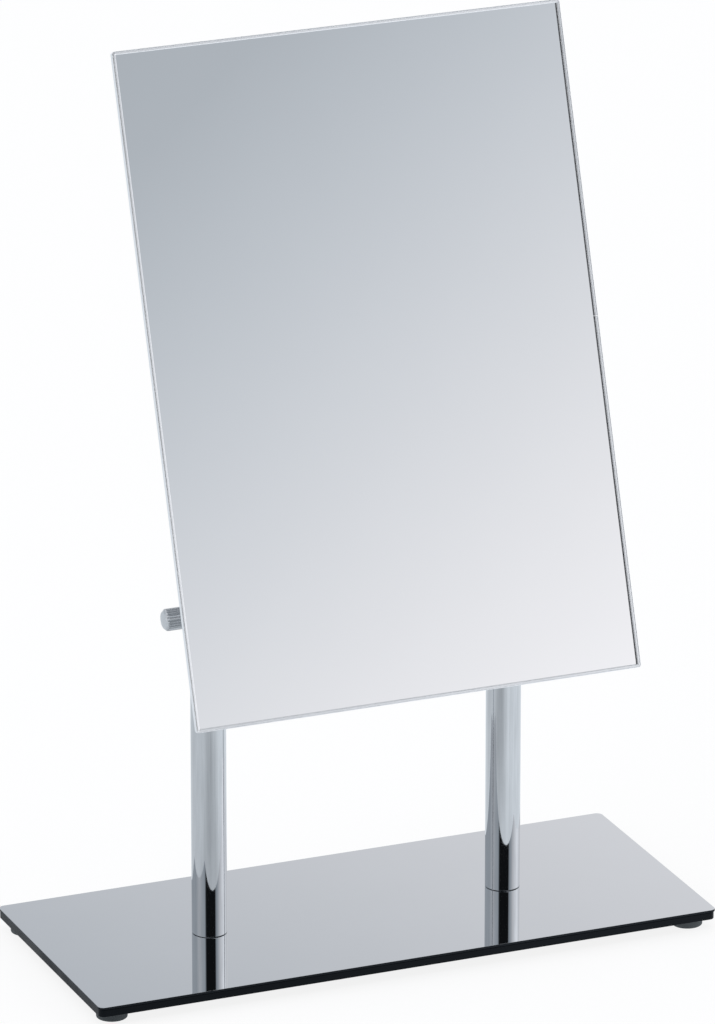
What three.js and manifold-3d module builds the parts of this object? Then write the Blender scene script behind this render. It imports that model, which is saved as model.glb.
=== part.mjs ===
// Extendable shaving mirror: a rectangular mirror on two telescopic posts and a weighted base plate.
// Units are millimetres. +X is the long side of the base, +Y points away from the user, +Z is up.
// The origin is the centre of the whole object's envelope, on the surface that it stands on.

import * as THREE from 'three';
import { mergeVertices } from 'three/addons/utils/BufferGeometryUtils.js';
import Module from 'manifold-3d';

const wasm = await Module();
wasm.setup();

// ---- Driving dimensions: base ----
const BASE_LENGTH = 225;
const BASE_DEPTH = 97;
const BASE_CORNER_RADIUS = 2;
const FOOT_HEIGHT = 3.4;
const FOOT_RADIUS = 5.4;
const FOOT_EDGE_RADIUS = 0.9;
const FOOT_INSET_X = 7.4;
const FOOT_INSET_Y = 8.2;
const WEIGHT_THICKNESS = 2.6;
const WEIGHT_INSET = 0.3;
const PLATE_GAP = 0.2;
const PLATE_THICKNESS = 0.8;
const PLATE_BEVEL = 0.2;

// ---- Driving dimensions: posts ----
const POST_SPACING = 108;
const OUTER_TUBE_RADIUS = 6;
const OUTER_TUBE_BORE = 5.2;
const OUTER_TUBE_LENGTH = 122;
const INNER_TUBE_RADIUS = 4.5;
const INNER_TUBE_BORE = 3.7;
const TUBE_EDGE_CHAMFER = 0.25;
const TUBE_PLUG_LENGTH = 14;
const TUBE_PLUG_CAP = 2;
const GUIDE_SLEEVE_DEPTH = 3.6;
const GUIDE_FLANGE_HEIGHT = 2;
const GUIDE_BEVEL = 0.5;
const SLIDE_FOOT_LIFT = 17;
const SLIDE_FOOT_HEIGHT = 10;
const SLIDE_FOOT_STEM = 9;
const SLIDE_FOOT_BEVEL = 0.5;

// ---- Driving dimensions: fasteners ----
const POST_SCREW_RADIUS = 2;
const POST_SCREW_HEAD_RADIUS = 4;
const POST_SCREW_HEAD_HEIGHT = 2.1;
const POST_SCREW_REACH = 9;
const POST_SCREW_BEVEL = 1;
const WASHER_THICKNESS = 0.5;
const WASHER_RADIUS = 4.6;
const PLATE_SCREW_RADIUS = 1.5;
const PLATE_SCREW_HEAD_RADIUS = 2.8;
const PLATE_SCREW_HEAD_HEIGHT = 1.7;
const PLATE_SCREW_REACH = 1.4;
const PLATE_SCREW_CROWN = 0.7;
const GRUB_SCREW_RADIUS = 1.5;
const GRUB_SCREW_SET_BACK = 0.4;
const GRUB_SOCKET_DEPTH = 1;
const SOCKET_WIDTH_SHARE = 0.75;
const SOCKET_DEPTH_SHARE = 0.6;
const SOCKET_SIDES = 6;
const HOLE_CLEARANCE = 0.25;

// ---- Driving dimensions: height clamp ----
const CLAMP_HEIGHT_ABOVE_BASE = 114.4;
const BOSS_SHANK_RADIUS = 3;
const BOSS_FLANGE_RADIUS = 4;
const BOSS_FLANGE_THICKNESS = 1.2;
const BOSS_SADDLE_DEPTH = 1;
const CLAMP_SCREW_RADIUS = 1.5;
const KNOB_RADIUS = 3.75;
const KNOB_LENGTH = 8.7;
const KNOB_TEETH = 24;
const KNOB_TOOTH_DEPTH = 0.3;
const KNOB_END_BEVEL = 1.3;
const KNOB_END_DOME = 0.5;
const KNOB_SHOULDER_DROP = 0.15;
const KNOB_INNER_BEVEL = 0.6;
const KNOB_SOCKET_DEPTH = 4;
const CLAMP_PAD_LENGTH = 1.4;

// ---- Driving dimensions: tilt hinge ----
const HINGE_HEIGHT_ABOVE_BASE = 195.3;
const HEAD_RADIUS = 6;
const HEAD_HALF_HEIGHT = 6;
const HEAD_EDGE_RADIUS = 1;
const HEAD_STEM_LENGTH = 12;
const CROSSBAR_RADIUS = 3;
const CROSSBAR_LENGTH = 109;
const HINGE_EAR_X = 26;
const HINGE_EAR_THICKNESS = 2;
const HINGE_EAR_RADIUS = 6;
const HINGE_PLATE_WIDTH = 76;
const HINGE_PLATE_HEIGHT = 36;
const HINGE_PLATE_THICKNESS = 1.5;
const HINGE_PLATE_CORNER = 4;
const HINGE_SCREW_X = 32;
const HINGE_SCREW_Z = 12;
const BUSH_RADIUS = 4;
const BUSH_FLANGE_RADIUS = 5.4;
const BUSH_FLANGE_THICKNESS = 0.9;
const SPRING_WASHER_THICKNESS = 0.8;
const COLLAR_RADIUS = 6;
const COLLAR_LENGTH = 6;

// ---- Driving dimensions: mirror ----
const MIRROR_WIDTH = 160;
const MIRROR_HEIGHT = 225;
const MIRROR_TILT_DEG = 18.6;
const MIRROR_FRONT_OFFSET = 20.7;
const FRAME_CORNER_RADIUS = 1;
const FRAME_LIP_WIDTH = 1.15;
const FRAME_LIP_THICKNESS = 0.75;
const FRAME_DEPTH = 1.8;
const FRAME_WALL = 0.5;
const FRAME_OPENING_CORNER = 0.2;
const FRAME_JOINT_GAP = 0.12;
const GLASS_INSET = 0.75;
const GLASS_THICKNESS = 2;
const GLASS_CORNER_RADIUS = 0.5;
const COVER_INSET = 0.9;
const COVER_THICKNESS = 4;
const COVER_BEVEL = 3;
const COVER_RECESS_BORDER = 6;
const COVER_RECESS_CORNER = 2;
const PAD_THICKNESS = 1.5;
const PAD_MARGIN = 0.5;

// ---- Fits and mesh fineness ----
const CONTACT_GAP = 0.1;
const RUNNING_GAP = 0.15;
const FINE_SEGMENTS = 32;
const MEDIUM_SEGMENTS = 24;
const SMALL_SEGMENTS = 16;
const CORNER_SEGMENTS = 3;
const MERGE_DISTANCE = 1e-4;
const TOOL_LENGTH = 40;
const CUT_MARGIN = 1;

// ---- Places worked out from the driving dimensions ----
const WEIGHT_BOTTOM = FOOT_HEIGHT;
const WEIGHT_TOP = WEIGHT_BOTTOM + WEIGHT_THICKNESS;
const PLATE_BOTTOM = WEIGHT_TOP + PLATE_GAP;
const BASE_TOP = PLATE_BOTTOM + PLATE_THICKNESS;
const TUBE_BOTTOM = BASE_TOP + CONTACT_GAP;
const TUBE_TOP = TUBE_BOTTOM + OUTER_TUBE_LENGTH;
const POST_X = POST_SPACING / 2;
const SLIDE_FOOT_BOTTOM = BASE_TOP + SLIDE_FOOT_LIFT;
const INNER_TUBE_BOTTOM = SLIDE_FOOT_BOTTOM + SLIDE_FOOT_HEIGHT + CONTACT_GAP;
const HINGE_Z = BASE_TOP + HINGE_HEIGHT_ABOVE_BASE;
const HEAD_BOTTOM = HINGE_Z - HEAD_HALF_HEIGHT;
const INNER_TUBE_TOP = HEAD_BOTTOM - CONTACT_GAP;
const CLAMP_Z = BASE_TOP + CLAMP_HEIGHT_ABOVE_BASE;
const SCREW_HOLE_RADIUS = POST_SCREW_RADIUS + HOLE_CLEARANCE;
const TILT = THREE.MathUtils.degToRad(MIRROR_TILT_DEG);
const MIRROR_FRONT_REACH = MIRROR_FRONT_OFFSET * Math.cos(TILT) + MIRROR_HEIGHT / 2 * Math.sin(TILT);
const POST_LINE_Y = (MIRROR_FRONT_REACH - BASE_DEPTH / 2) / 2;

// Depths inside the tilting mirror, measured along its own Y from the hinge axis.
const FRAME_FRONT_Y = -MIRROR_FRONT_OFFSET;
const GLASS_FRONT_Y = FRAME_FRONT_Y + FRAME_LIP_THICKNESS + CONTACT_GAP;
const GLASS_BACK_Y = GLASS_FRONT_Y + GLASS_THICKNESS;
const COVER_FRONT_Y = GLASS_BACK_Y + CONTACT_GAP;
const COVER_BACK_Y = COVER_FRONT_Y + COVER_THICKNESS;
const HINGE_PLATE_Y = COVER_BACK_Y + CONTACT_GAP;
const HINGE_PLATE_BACK_Y = HINGE_PLATE_Y + HINGE_PLATE_THICKNESS;

// ---- Materials ----
function material(color, roughness, metalness) {
  return new THREE.MeshStandardMaterial({ color, roughness, metalness });
}

const chrome = material(0xd5d9de, 0.06, 1);
const polishedPlate = material(0xc6cad1, 0.03, 1);
const blackPaint = material(0x161a1f, 0.4, 0);
const rubber = material(0x4a4e50, 0.8, 0);
const plainSteel = material(0x9a9da1, 0.35, 1);
const brass = material(0xb59a5b, 0.3, 1);
const whiteNylon = material(0xe6e4dc, 0.5, 0);
const blackNylon = material(0x202225, 0.5, 0);
const silvered = material(0xd0d4da, 0.01, 1);
const greyPlastic = material(0xb4b8bc, 0.45, 0);
const foam = material(0x55585c, 0.95, 0);

// ---- Shape helpers ----
function roundedRectangle(width, height, radius) {
  const x = width / 2 - radius;
  const y = height / 2 - radius;
  const shape = new THREE.Shape();
  shape.absarc(x, y, radius, 0, Math.PI / 2);
  shape.absarc(-x, y, radius, Math.PI / 2, Math.PI);
  shape.absarc(-x, -y, radius, Math.PI, Math.PI * 3 / 2);
  shape.absarc(x, -y, radius, Math.PI * 3 / 2, Math.PI * 2);
  shape.closePath();
  return shape;
}

// A round hole for a shape, as a ring of points that runs clockwise.
function roundHole(x, y, radius) {
  return new THREE.Path(Array.from({ length: SMALL_SEGMENTS }, (_, i) => {
    const angle = -Math.PI * 2 * i / SMALL_SEGMENTS;
    return new THREE.Vector2(x + radius * Math.cos(angle), y + radius * Math.sin(angle));
  }));
}

// A slab standing on the XY plane, from bottom to bottom + height.
function slab(shape, bottom, height) {
  const options = { depth: height, bevelEnabled: false, curveSegments: CORNER_SEGMENTS };
  return new THREE.ExtrudeGeometry(shape, options).translate(0, 0, bottom);
}

// The same slab laid so that its outline is in XZ and its thickness runs along +Y.
function uprightSlab(shape, front, depth) {
  return slab(shape, -front - depth, depth).rotateX(Math.PI / 2);
}

// A round solid about Z. The profile lists [radius, z] from the bottom, round the outside, to the top.
function revolve(profile, segments) {
  const points = profile.map(([radius, z]) => new THREE.Vector2(radius, z));
  return new THREE.LatheGeometry(points, segments).rotateX(Math.PI / 2);
}

function rod(radius, bottom, top, segments) {
  return revolve([[0, bottom], [radius, bottom], [radius, top], [0, top]], segments);
}

function ring(outer, inner, bottom, top, segments) {
  const profile = [[inner, bottom], [outer, bottom], [outer, top], [inner, top], [inner, bottom]];
  return revolve(profile, segments);
}

function tube(outer, inner, bottom, top, segments) {
  const c = TUBE_EDGE_CHAMFER;
  return revolve([
    [inner, bottom], [outer - c, bottom], [outer, bottom + c],
    [outer, top - c], [outer - c, top], [inner, top], [inner, bottom],
  ], segments);
}

// Points of a quarter circle in [radius, z], from startAngle by 90 degrees anticlockwise.
function quarterArc(centreRadius, centreZ, radius, startAngle) {
  return Array.from({ length: CORNER_SEGMENTS + 1 }, (_, i) => {
    const angle = startAngle + Math.PI / 2 * i / CORNER_SEGMENTS;
    return [centreRadius + radius * Math.cos(angle), centreZ + radius * Math.sin(angle)];
  });
}

function alongX(geometry) {
  return geometry.rotateY(Math.PI / 2);
}

function alongMinusX(geometry) {
  return geometry.rotateY(-Math.PI / 2);
}

function alongY(geometry) {
  return geometry.rotateX(-Math.PI / 2);
}

// ---- Joining and cutting ----
function toSolid(geometry) {
  const bare = geometry.clone();
  bare.deleteAttribute('normal');
  bare.deleteAttribute('uv');
  const merged = mergeVertices(bare, MERGE_DISTANCE);
  const vertProperties = Float32Array.from(merged.attributes.position.array);
  const triVerts = Uint32Array.from(merged.index.array);
  return new wasm.Manifold(new wasm.Mesh({ numProp: 3, vertProperties, triVerts }));
}

function toGeometry(solid) {
  const mesh = solid.getMesh();
  const geometry = new THREE.BufferGeometry();
  geometry.setAttribute('position', new THREE.BufferAttribute(mesh.vertProperties, 3));
  geometry.setIndex(new THREE.BufferAttribute(mesh.triVerts, 1));
  geometry.computeVertexNormals();
  return geometry;
}

function cut(body, ...tools) {
  const solids = tools.map(toSolid);
  return toGeometry(solids.reduce((rest, tool) => rest.subtract(tool), toSolid(body)));
}

function join(...pieces) {
  return toGeometry(pieces.map(toSolid).reduce((whole, piece) => whole.add(piece)));
}

function common(first, second) {
  return toGeometry(toSolid(first).intersect(toSolid(second)));
}

function place(parent, name, geometry, finish, x = 0, y = 0, z = 0) {
  const mesh = new THREE.Mesh(geometry, finish);
  mesh.name = name;
  mesh.position.set(x, y, z);
  parent.add(mesh);
}

// ---- Base ----
function withPostHoles(shape) {
  for (const side of [-1, 1]) {
    shape.holes.push(roundHole(side * POST_X, 0, SCREW_HOLE_RADIUS));
  }
  return shape;
}

function baseTopPlate() {
  const shape = withPostHoles(roundedRectangle(BASE_LENGTH, BASE_DEPTH, BASE_CORNER_RADIUS));
  const options = {
    depth: PLATE_THICKNESS - 2 * PLATE_BEVEL,
    bevelThickness: PLATE_BEVEL,
    bevelSize: PLATE_BEVEL,
    bevelOffset: -PLATE_BEVEL,
    bevelSegments: 1,
    curveSegments: CORNER_SEGMENTS,
  };
  return new THREE.ExtrudeGeometry(shape, options).translate(0, 0, PLATE_BOTTOM + PLATE_BEVEL);
}

function baseWeight() {
  const length = BASE_LENGTH - 2 * WEIGHT_INSET;
  const depth = BASE_DEPTH - 2 * WEIGHT_INSET;
  const shape = withPostHoles(roundedRectangle(length, depth, BASE_CORNER_RADIUS));
  return slab(shape, WEIGHT_BOTTOM, WEIGHT_THICKNESS);
}

function rubberFoot() {
  const rim = quarterArc(FOOT_RADIUS - FOOT_EDGE_RADIUS, FOOT_EDGE_RADIUS, FOOT_EDGE_RADIUS, -Math.PI / 2);
  const top = FOOT_HEIGHT - CONTACT_GAP;
  return revolve([[0, 0], ...rim, [FOOT_RADIUS, top], [0, top]], MEDIUM_SEGMENTS);
}

function addBase(parent) {
  place(parent, 'base_top_plate', baseTopPlate(), polishedPlate);
  place(parent, 'base_weight', baseWeight(), blackPaint);
  const x = BASE_LENGTH / 2 - FOOT_INSET_X;
  const y = BASE_DEPTH / 2 - FOOT_INSET_Y;
  for (const [name, sideX, sideY] of [
    ['foot_front_left', -1, -1], ['foot_front_right', 1, -1],
    ['foot_back_left', -1, 1], ['foot_back_right', 1, 1],
  ]) {
    place(parent, name, rubberFoot(), rubber, sideX * x, sideY * y);
  }
}

// ---- Posts: fixed half ----
function postScrew() {
  const headBottom = WEIGHT_BOTTOM - CONTACT_GAP - WASHER_THICKNESS - CONTACT_GAP - POST_SCREW_HEAD_HEIGHT;
  const headTop = headBottom + POST_SCREW_HEAD_HEIGHT;
  const tip = TUBE_BOTTOM + POST_SCREW_REACH;
  const c = POST_SCREW_BEVEL;
  const screw = revolve([
    [0, headBottom], [POST_SCREW_HEAD_RADIUS - c, headBottom], [POST_SCREW_HEAD_RADIUS, headBottom + c],
    [POST_SCREW_HEAD_RADIUS, headTop], [POST_SCREW_RADIUS, headTop],
    [POST_SCREW_RADIUS, tip - c], [POST_SCREW_RADIUS - c, tip], [0, tip],
  ], SMALL_SEGMENTS);
  const socketEnd = headBottom + POST_SCREW_HEAD_HEIGHT * SOCKET_DEPTH_SHARE;
  const socketRadius = POST_SCREW_RADIUS * SOCKET_WIDTH_SHARE;
  return cut(screw, rod(socketRadius, headBottom - CUT_MARGIN, socketEnd, SOCKET_SIDES));
}

function postWasher() {
  const bottom = WEIGHT_BOTTOM - CONTACT_GAP - WASHER_THICKNESS;
  return ring(WASHER_RADIUS, SCREW_HOLE_RADIUS, bottom, bottom + WASHER_THICKNESS, SMALL_SEGMENTS);
}

// The plug is pressed into the foot of the tube and takes the screw that comes up through the base.
function tubePlug() {
  const outer = OUTER_TUBE_BORE - CONTACT_GAP;
  const top = TUBE_BOTTOM + TUBE_PLUG_LENGTH;
  const boreTop = top - TUBE_PLUG_CAP;
  return revolve([
    [SCREW_HOLE_RADIUS, TUBE_BOTTOM], [outer, TUBE_BOTTOM], [outer, top], [0, top],
    [0, boreTop], [SCREW_HOLE_RADIUS, boreTop], [SCREW_HOLE_RADIUS, TUBE_BOTTOM],
  ], MEDIUM_SEGMENTS);
}

function guideCollar() {
  const bore = INNER_TUBE_RADIUS + RUNNING_GAP;
  const sleeve = OUTER_TUBE_BORE - CONTACT_GAP;
  const bottom = TUBE_TOP - GUIDE_SLEEVE_DEPTH;
  const flangeBottom = TUBE_TOP + CONTACT_GAP;
  const top = flangeBottom + GUIDE_FLANGE_HEIGHT;
  return revolve([
    [bore, bottom], [sleeve, bottom], [sleeve, flangeBottom], [OUTER_TUBE_RADIUS, flangeBottom],
    [OUTER_TUBE_RADIUS, top - GUIDE_BEVEL], [OUTER_TUBE_RADIUS - GUIDE_BEVEL, top],
    [bore, top], [bore, bottom],
  ], FINE_SEGMENTS);
}

function outerTube() {
  return tube(OUTER_TUBE_RADIUS, OUTER_TUBE_BORE, TUBE_BOTTOM, TUBE_TOP, FINE_SEGMENTS);
}

// The left tube has a round window in its outward side for the boss of the height clamp.
function outerTubeWithWindow() {
  const windowRadius = BOSS_SHANK_RADIUS + CONTACT_GAP;
  const window = alongMinusX(rod(windowRadius, 0, TOOL_LENGTH, MEDIUM_SEGMENTS)).translate(0, 0, CLAMP_Z);
  return cut(outerTube(), window);
}

function addFixedPosts(parent) {
  for (const [side, x, tubeGeometry] of [
    ['left', -POST_X, outerTubeWithWindow()], ['right', POST_X, outerTube()],
  ]) {
    place(parent, `post_screw_${side}`, postScrew(), plainSteel, x);
    place(parent, `post_washer_${side}`, postWasher(), plainSteel, x);
    place(parent, `tube_plug_${side}`, tubePlug(), plainSteel, x);
    place(parent, `outer_tube_${side}`, tubeGeometry, chrome, x);
    place(parent, `guide_collar_${side}`, guideCollar(), chrome, x);
  }
}

// ---- Height clamp, on the outward side of the left outer tube ----
function clampBoss() {
  const bore = CLAMP_SCREW_RADIUS + CONTACT_GAP;
  const inner = OUTER_TUBE_BORE + CONTACT_GAP;
  const seat = OUTER_TUBE_RADIUS + CONTACT_GAP;
  const flangeStart = seat - BOSS_SADDLE_DEPTH;
  const flangeEnd = seat + BOSS_FLANGE_THICKNESS;
  const blank = alongMinusX(revolve([
    [bore, 0], [BOSS_SHANK_RADIUS, 0], [BOSS_SHANK_RADIUS, flangeStart],
    [BOSS_FLANGE_RADIUS, flangeStart], [BOSS_FLANGE_RADIUS, flangeEnd], [bore, flangeEnd], [bore, 0],
  ], MEDIUM_SEGMENTS));
  const shank = cut(blank, rod(inner, -TOOL_LENGTH, TOOL_LENGTH, FINE_SEGMENTS));
  const wall = ring(seat, OUTER_TUBE_BORE, -TOOL_LENGTH, TOOL_LENGTH, FINE_SEGMENTS);
  const core = alongMinusX(rod(BOSS_SHANK_RADIUS, 0, TOOL_LENGTH, MEDIUM_SEGMENTS));
  return cut(shank, cut(wall, core));
}

function clampScrew() {
  const tip = INNER_TUBE_RADIUS + CONTACT_GAP + CLAMP_PAD_LENGTH + CONTACT_GAP;
  const end = knobInnerFace() + KNOB_SOCKET_DEPTH - CONTACT_GAP;
  return alongMinusX(rod(CLAMP_SCREW_RADIUS, tip, end, SMALL_SEGMENTS));
}

function knobInnerFace() {
  return OUTER_TUBE_RADIUS + CONTACT_GAP + BOSS_FLANGE_THICKNESS + 2 * CONTACT_GAP;
}

function clampKnob() {
  const outline = new THREE.Shape(Array.from({ length: KNOB_TEETH * 2 }, (_, i) => {
    const radius = KNOB_RADIUS - (i % 2) * KNOB_TOOTH_DEPTH;
    const angle = Math.PI * i / KNOB_TEETH;
    return new THREE.Vector2(radius * Math.cos(angle), radius * Math.sin(angle));
  }));
  const inner = knobInnerFace();
  const end = inner + KNOB_LENGTH;
  const bevelEnd = end - KNOB_END_DOME;
  const toothed = slab(outline, inner, KNOB_LENGTH + CUT_MARGIN);
  const side = KNOB_RADIUS + CONTACT_GAP;
  const blank = revolve([
    [0, inner], [KNOB_RADIUS - KNOB_INNER_BEVEL, inner], [side, inner + KNOB_INNER_BEVEL],
    [side, bevelEnd - KNOB_END_BEVEL], [KNOB_RADIUS - KNOB_END_BEVEL, bevelEnd],
    [KNOB_RADIUS - 2 * KNOB_END_BEVEL, end - KNOB_SHOULDER_DROP], [0, end],
  ], FINE_SEGMENTS);
  const socketRadius = CLAMP_SCREW_RADIUS + CONTACT_GAP;
  const socket = rod(socketRadius, inner - CUT_MARGIN, inner + KNOB_SOCKET_DEPTH, SMALL_SEGMENTS);
  return alongMinusX(cut(common(toothed, blank), socket));
}

function clampPad() {
  const start = INNER_TUBE_RADIUS + CONTACT_GAP;
  const radius = CLAMP_SCREW_RADIUS - CONTACT_GAP;
  return alongMinusX(rod(radius, start, start + CLAMP_PAD_LENGTH, SMALL_SEGMENTS));
}

function addClamp(parent) {
  place(parent, 'clamp_boss', clampBoss(), brass, -POST_X, 0, CLAMP_Z);
  place(parent, 'clamp_screw', clampScrew(), plainSteel, -POST_X, 0, CLAMP_Z);
  place(parent, 'clamp_knob', clampKnob(), chrome, -POST_X, 0, CLAMP_Z);
  place(parent, 'clamp_pad', clampPad(), whiteNylon, -POST_X, 0, CLAMP_Z);
}

// ---- Posts: lifting half ----
function innerTube() {
  return tube(INNER_TUBE_RADIUS, INNER_TUBE_BORE, INNER_TUBE_BOTTOM, INNER_TUBE_TOP, FINE_SEGMENTS);
}

// The slide foot guides the inner tube's lower end and stops it from being pulled out.
function slideFoot() {
  const outer = OUTER_TUBE_BORE - RUNNING_GAP;
  const stem = INNER_TUBE_BORE - CONTACT_GAP;
  const shoulder = SLIDE_FOOT_BOTTOM + SLIDE_FOOT_HEIGHT;
  const top = shoulder + SLIDE_FOOT_STEM;
  const c = SLIDE_FOOT_BEVEL;
  return revolve([
    [0, SLIDE_FOOT_BOTTOM], [outer - c, SLIDE_FOOT_BOTTOM], [outer, SLIDE_FOOT_BOTTOM + c],
    [outer, shoulder], [stem, shoulder], [stem, top], [0, top],
  ], MEDIUM_SEGMENTS);
}

// A head closes the inner tube and holds one end of the crossbar. towardMiddle is +1 or -1 along X.
function postHead(towardMiddle) {
  const stem = INNER_TUBE_BORE - CONTACT_GAP;
  const round = HEAD_EDGE_RADIUS;
  const edge = quarterArc(HEAD_RADIUS - round, HEAD_HALF_HEIGHT - round, round, 0);
  const stemBottom = -HEAD_HALF_HEIGHT - HEAD_STEM_LENGTH;
  const blank = revolve([
    [0, stemBottom], [stem, stemBottom], [stem, -HEAD_HALF_HEIGHT],
    [HEAD_RADIUS - TUBE_EDGE_CHAMFER, -HEAD_HALF_HEIGHT],
    [HEAD_RADIUS, -HEAD_HALF_HEIGHT + TUBE_EDGE_CHAMFER], ...edge, [0, HEAD_HALF_HEIGHT],
  ], FINE_SEGMENTS);
  const boreEnd = POST_X - CROSSBAR_LENGTH / 2 - CONTACT_GAP;
  const bore = alongX(rod(CROSSBAR_RADIUS + CONTACT_GAP, boreEnd, TOOL_LENGTH, MEDIUM_SEGMENTS));
  if (towardMiddle < 0) {
    bore.rotateZ(Math.PI);
  }
  const screwHole = alongY(rod(GRUB_SCREW_RADIUS + CONTACT_GAP, 0, TOOL_LENGTH, SMALL_SEGMENTS));
  return cut(blank, bore, screwHole);
}

function grubScrew(start, end) {
  const body = rod(GRUB_SCREW_RADIUS, start, end, SMALL_SEGMENTS);
  const socketRadius = GRUB_SCREW_RADIUS * SOCKET_WIDTH_SHARE;
  return alongY(cut(body, rod(socketRadius, end - GRUB_SOCKET_DEPTH, end + CUT_MARGIN, SOCKET_SIDES)));
}

function crossbar() {
  const half = CROSSBAR_LENGTH / 2;
  const c = TUBE_EDGE_CHAMFER;
  return alongX(revolve([
    [0, -half], [CROSSBAR_RADIUS - c, -half], [CROSSBAR_RADIUS, c - half],
    [CROSSBAR_RADIUS, half - c], [CROSSBAR_RADIUS - c, half], [0, half],
  ], MEDIUM_SEGMENTS));
}

function springWasher() {
  const half = SPRING_WASHER_THICKNESS / 2;
  return alongX(ring(BUSH_FLANGE_RADIUS, CROSSBAR_RADIUS + CONTACT_GAP, -half, half, MEDIUM_SEGMENTS));
}

function hingeCollar() {
  const half = COLLAR_LENGTH / 2;
  const body = alongX(tube(COLLAR_RADIUS, CROSSBAR_RADIUS + CONTACT_GAP, -half, half, FINE_SEGMENTS));
  return cut(body, alongY(rod(GRUB_SCREW_RADIUS + CONTACT_GAP, 0, TOOL_LENGTH, SMALL_SEGMENTS)));
}

function addLift(parent) {
  const washerX = HINGE_EAR_X + HINGE_EAR_THICKNESS / 2 + CONTACT_GAP + SPRING_WASHER_THICKNESS / 2;
  const collarX = washerX + SPRING_WASHER_THICKNESS / 2 + CONTACT_GAP + COLLAR_LENGTH / 2;
  const grubStart = CROSSBAR_RADIUS + CONTACT_GAP;
  for (const [side, sign] of [['left', -1], ['right', 1]]) {
    const x = sign * POST_X;
    place(parent, `slide_foot_${side}`, slideFoot(), blackNylon, x);
    place(parent, `inner_tube_${side}`, innerTube(), chrome, x);
    place(parent, `post_head_${side}`, postHead(-sign), chrome, x, 0, HINGE_Z);
    const headScrew = grubScrew(grubStart, HEAD_RADIUS - GRUB_SCREW_SET_BACK);
    place(parent, `head_grub_screw_${side}`, headScrew, plainSteel, x, 0, HINGE_Z);
    place(parent, `spring_washer_${side}`, springWasher(), plainSteel, sign * washerX, 0, HINGE_Z);
    place(parent, `hinge_collar_${side}`, hingeCollar(), chrome, sign * collarX, 0, HINGE_Z);
    const collarScrew = grubScrew(grubStart, COLLAR_RADIUS - GRUB_SCREW_SET_BACK);
    place(parent, `collar_grub_screw_${side}`, collarScrew, plainSteel, sign * collarX, 0, HINGE_Z);
  }
  place(parent, 'crossbar', crossbar(), chrome, 0, 0, HINGE_Z);
}

// ---- Mirror head, in its own frame: origin on the hinge axis, front face towards -Y ----
function insetRectangle(inset, radius) {
  return roundedRectangle(MIRROR_WIDTH - 2 * inset, MIRROR_HEIGHT - 2 * inset, radius);
}

// A bent strip with a lip over the glass. Its ends meet in a butt joint half-way up the right side.
function frameBand() {
  const outside = uprightSlab(insetRectangle(0, FRAME_CORNER_RADIUS), FRAME_FRONT_Y, FRAME_DEPTH);
  const openingShape = insetRectangle(FRAME_LIP_WIDTH, FRAME_OPENING_CORNER);
  const opening = uprightSlab(openingShape, FRAME_FRONT_Y - CUT_MARGIN, FRAME_DEPTH + 2 * CUT_MARGIN);
  const pocketShape = insetRectangle(FRAME_WALL, FRAME_CORNER_RADIUS - FRAME_WALL);
  const pocket = uprightSlab(pocketShape, FRAME_FRONT_Y + FRAME_LIP_THICKNESS, FRAME_DEPTH);
  const slot = new THREE.BoxGeometry(FRAME_LIP_WIDTH * 4, TOOL_LENGTH, FRAME_JOINT_GAP);
  slot.translate(MIRROR_WIDTH / 2, FRAME_FRONT_Y, 0);
  return cut(outside, opening, pocket, slot);
}

function mirrorGlass() {
  return uprightSlab(insetRectangle(GLASS_INSET, GLASS_CORNER_RADIUS), GLASS_FRONT_Y, GLASS_THICKNESS);
}

// The cover backs the glass. Its sides slope inwards and its front is recessed for the foam pad.
function backCover() {
  const shape = insetRectangle(COVER_INSET, FRAME_CORNER_RADIUS + COVER_BEVEL);
  const options = {
    depth: COVER_THICKNESS - COVER_BEVEL,
    bevelThickness: COVER_BEVEL,
    bevelSize: COVER_BEVEL,
    bevelOffset: -COVER_BEVEL,
    bevelSegments: 1,
    curveSegments: CORNER_SEGMENTS,
  };
  const bothSides = new THREE.ExtrudeGeometry(shape, options).rotateX(-Math.PI / 2);
  bothSides.translate(0, COVER_FRONT_Y, 0);
  const frontHalf = new THREE.BoxGeometry(MIRROR_WIDTH * 2, TOOL_LENGTH, MIRROR_HEIGHT * 2);
  frontHalf.translate(0, COVER_FRONT_Y - TOOL_LENGTH / 2, 0);
  const recessShape = insetRectangle(COVER_INSET + COVER_RECESS_BORDER, COVER_RECESS_CORNER);
  const recessDepth = PAD_THICKNESS + CONTACT_GAP;
  const recess = uprightSlab(recessShape, COVER_FRONT_Y - CUT_MARGIN, CUT_MARGIN + recessDepth);
  const holeBottom = COVER_BACK_Y - PLATE_SCREW_REACH - CONTACT_GAP;
  const holes = hingeScrewPlaces().map(([x, z]) => {
    const hole = rod(PLATE_SCREW_RADIUS + CONTACT_GAP, holeBottom, TOOL_LENGTH, SMALL_SEGMENTS);
    return alongY(hole).translate(x, 0, z);
  });
  return cut(bothSides, frontHalf, recess, ...holes);
}

function foamPad() {
  const inset = COVER_INSET + COVER_RECESS_BORDER + PAD_MARGIN;
  return uprightSlab(insetRectangle(inset, COVER_RECESS_CORNER), COVER_FRONT_Y, PAD_THICKNESS);
}

function hingeScrewPlaces() {
  return [[-1, -1], [1, -1], [-1, 1], [1, 1]].map(([sx, sz]) => [sx * HINGE_SCREW_X, sz * HINGE_SCREW_Z]);
}

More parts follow.
